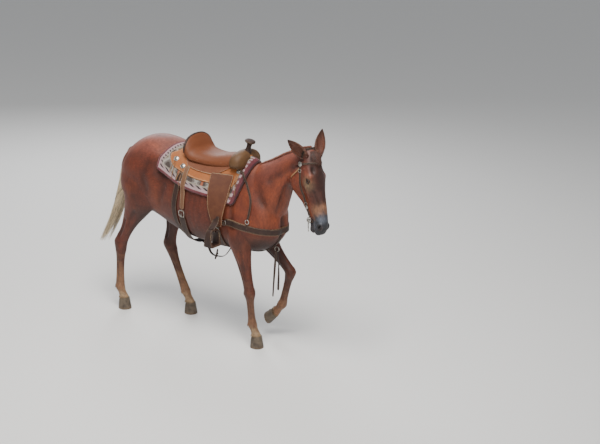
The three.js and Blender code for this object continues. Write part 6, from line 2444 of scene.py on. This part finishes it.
def makeFineHair():
    rng = np.random.default_rng(fineHair["seed"])
    routes, outs, widths, tones = [], [], [], []

    def add(route, out, width, tone):
        routes.append(route)
        outs.append(out)
        widths.append(width)
        tones.append(linear(tone))

    s = np.linspace(0, 1, 5)[:, None]
    for sign in sides:
        aside, down, along = unit(headWay(0, 0, sign)), unit(headWay(0, -1, 0)), unit(headWay(1, 0, 0))
        rim = lidPath(sign, 1.04, 2.6)
        for _ in range(fineHair["lashes"]):
            i = rng.uniform(1.5, 16.5)
            root = lerp(rim[int(i)], rim[int(i) + 1], i % 1)
            way = unit(aside * 0.9 + down * rng.uniform(0.3, 0.8) + along * rng.normal(0, 0.3))
            add(root + way * s * rng.uniform(8, 15) + down * s ** 2 * 4, along, 0.7, (26, 18, 16))
        for _ in range(fineHair["whiskers"]):
            u, v = rng.uniform(560, 668), rng.uniform(-160, -70)
            root, out = sidePlace(u, v, sign)
            way = unit(out + along * rng.uniform(0.1, 0.6) + rng.normal(0, 0.2, 3))
            route = root + way * s * rng.uniform(10, 26) - np.array([0, 0, 1]) * s ** 2 * 4
            add(route, along, 0.6, (38, 32, 32))
    for name, leg in legs.items():
        joints = np.array(leg["joints"], float)
        bone = 1 if "front" in name else 2
        for _ in range(fineHair["fetlock"]):
            turn = rng.normal(math.pi, 0.75)
            t = rng.uniform(0.9, 1.0)
            axis = unit(joints[bone + 1] - joints[bone])
            ahead = unit(np.cross(axis, [0, 1, 0]))
            outward = ahead * math.cos(turn) + np.array([0, 1, 0]) * math.sin(turn)
            centre = lerp(joints[bone], joints[bone + 1], t)
            root, _ = castOn(centre + outward * 90, centre)
            way = unit(axis * 1.0 + outward * rng.uniform(0.1, 0.4))
            tone = lerp(np.array([84, 52, 36]), np.array([138, 104, 76]), rng.random())
            facing = np.array([0, 1.0, 0]) if abs(outward[1]) < 0.7 else ahead
            add(root - outward * 2 + way * s * rng.uniform(14, 30), facing, 1.8, tone)
        toe, heel = np.array(leg["toe"], float), np.array(leg["heel"], float)
        forward = (toe - heel) / 2
        sole, top = (toe + heel) / 2, joints[-1] - forward * 0.04
        axis = unit(sole - top)
        for _ in range(fineHair["coronet"]):
            turn = rng.uniform(0, 2 * math.pi)
            outward = forward * 0.8 * math.cos(turn) + np.array([0, hoofHalf * 0.8, 0]) * math.sin(turn)
            centre = top - axis * 16
            root, _ = castOn(centre + outward * 2.2, centre)
            outward = unit(outward)
            way = unit(axis + outward * rng.uniform(0.28, 0.5))
            tone = lerp(np.array([112, 84, 60]), np.array([168, 144, 108]), rng.random())
            add(root + way * s * rng.uniform(12, 24), np.cross(axis, outward), 2.0, tone)
    routes = np.array(routes)
    tuftPiece("fine_hair", routes, outs, widths, [1, 0.9, 0.75, 0.5, 0.06], tones, unwrapped(routes[:, 0]),
              0.4)


makeFineHair()
print("stage: fine hair made")


# floor and light
def addStage():
    bpy.ops.mesh.primitive_plane_add(size=60, location=(0, 0, 0))
    floor = bpy.context.object
    floor.name = "floor"
    paint = bpy.data.materials.new("pale_floor")
    paint.use_nodes = True
    shader = paint.node_tree.nodes["Principled BSDF"]
    shader.inputs["Base Color"].default_value = (0.78, 0.77, 0.75, 1)
    shader.inputs["Roughness"].default_value = 0.8
    floor.data.materials.append(paint)
    world = bpy.data.worlds.new("studio")
    world.use_nodes = True
    world.node_tree.nodes["Background"].inputs["Color"].default_value = (0.93, 0.96, 1, 1)
    world.node_tree.nodes["Background"].inputs["Strength"].default_value = 0.42
    bpy.context.scene.world = world
    for name, place, size, power, colour in [
        ("above", (1.2, -2.2, 6.5), 3.2, 560, (1, 0.98, 0.95)),
        ("side", (5.5, -5, 3), 4, 95, (1, 0.97, 0.93)),
        ("behind", (-4.5, 4, 4.5), 3, 260, (0.95, 0.97, 1)),
    ]:
        lamp = bpy.data.lights.new(name, "AREA")
        lamp.size = size
        lamp.energy = power
        lamp.color = colour
        lampObject = bpy.data.objects.new(name, lamp)
        lampObject.location = place
        aim = Vector((0, 0, 0.8)) - Vector(place)
        lampObject.rotation_euler = aim.to_track_quat("-Z", "Y").to_euler()
        bpy.context.scene.collection.objects.link(lampObject)


addStage()
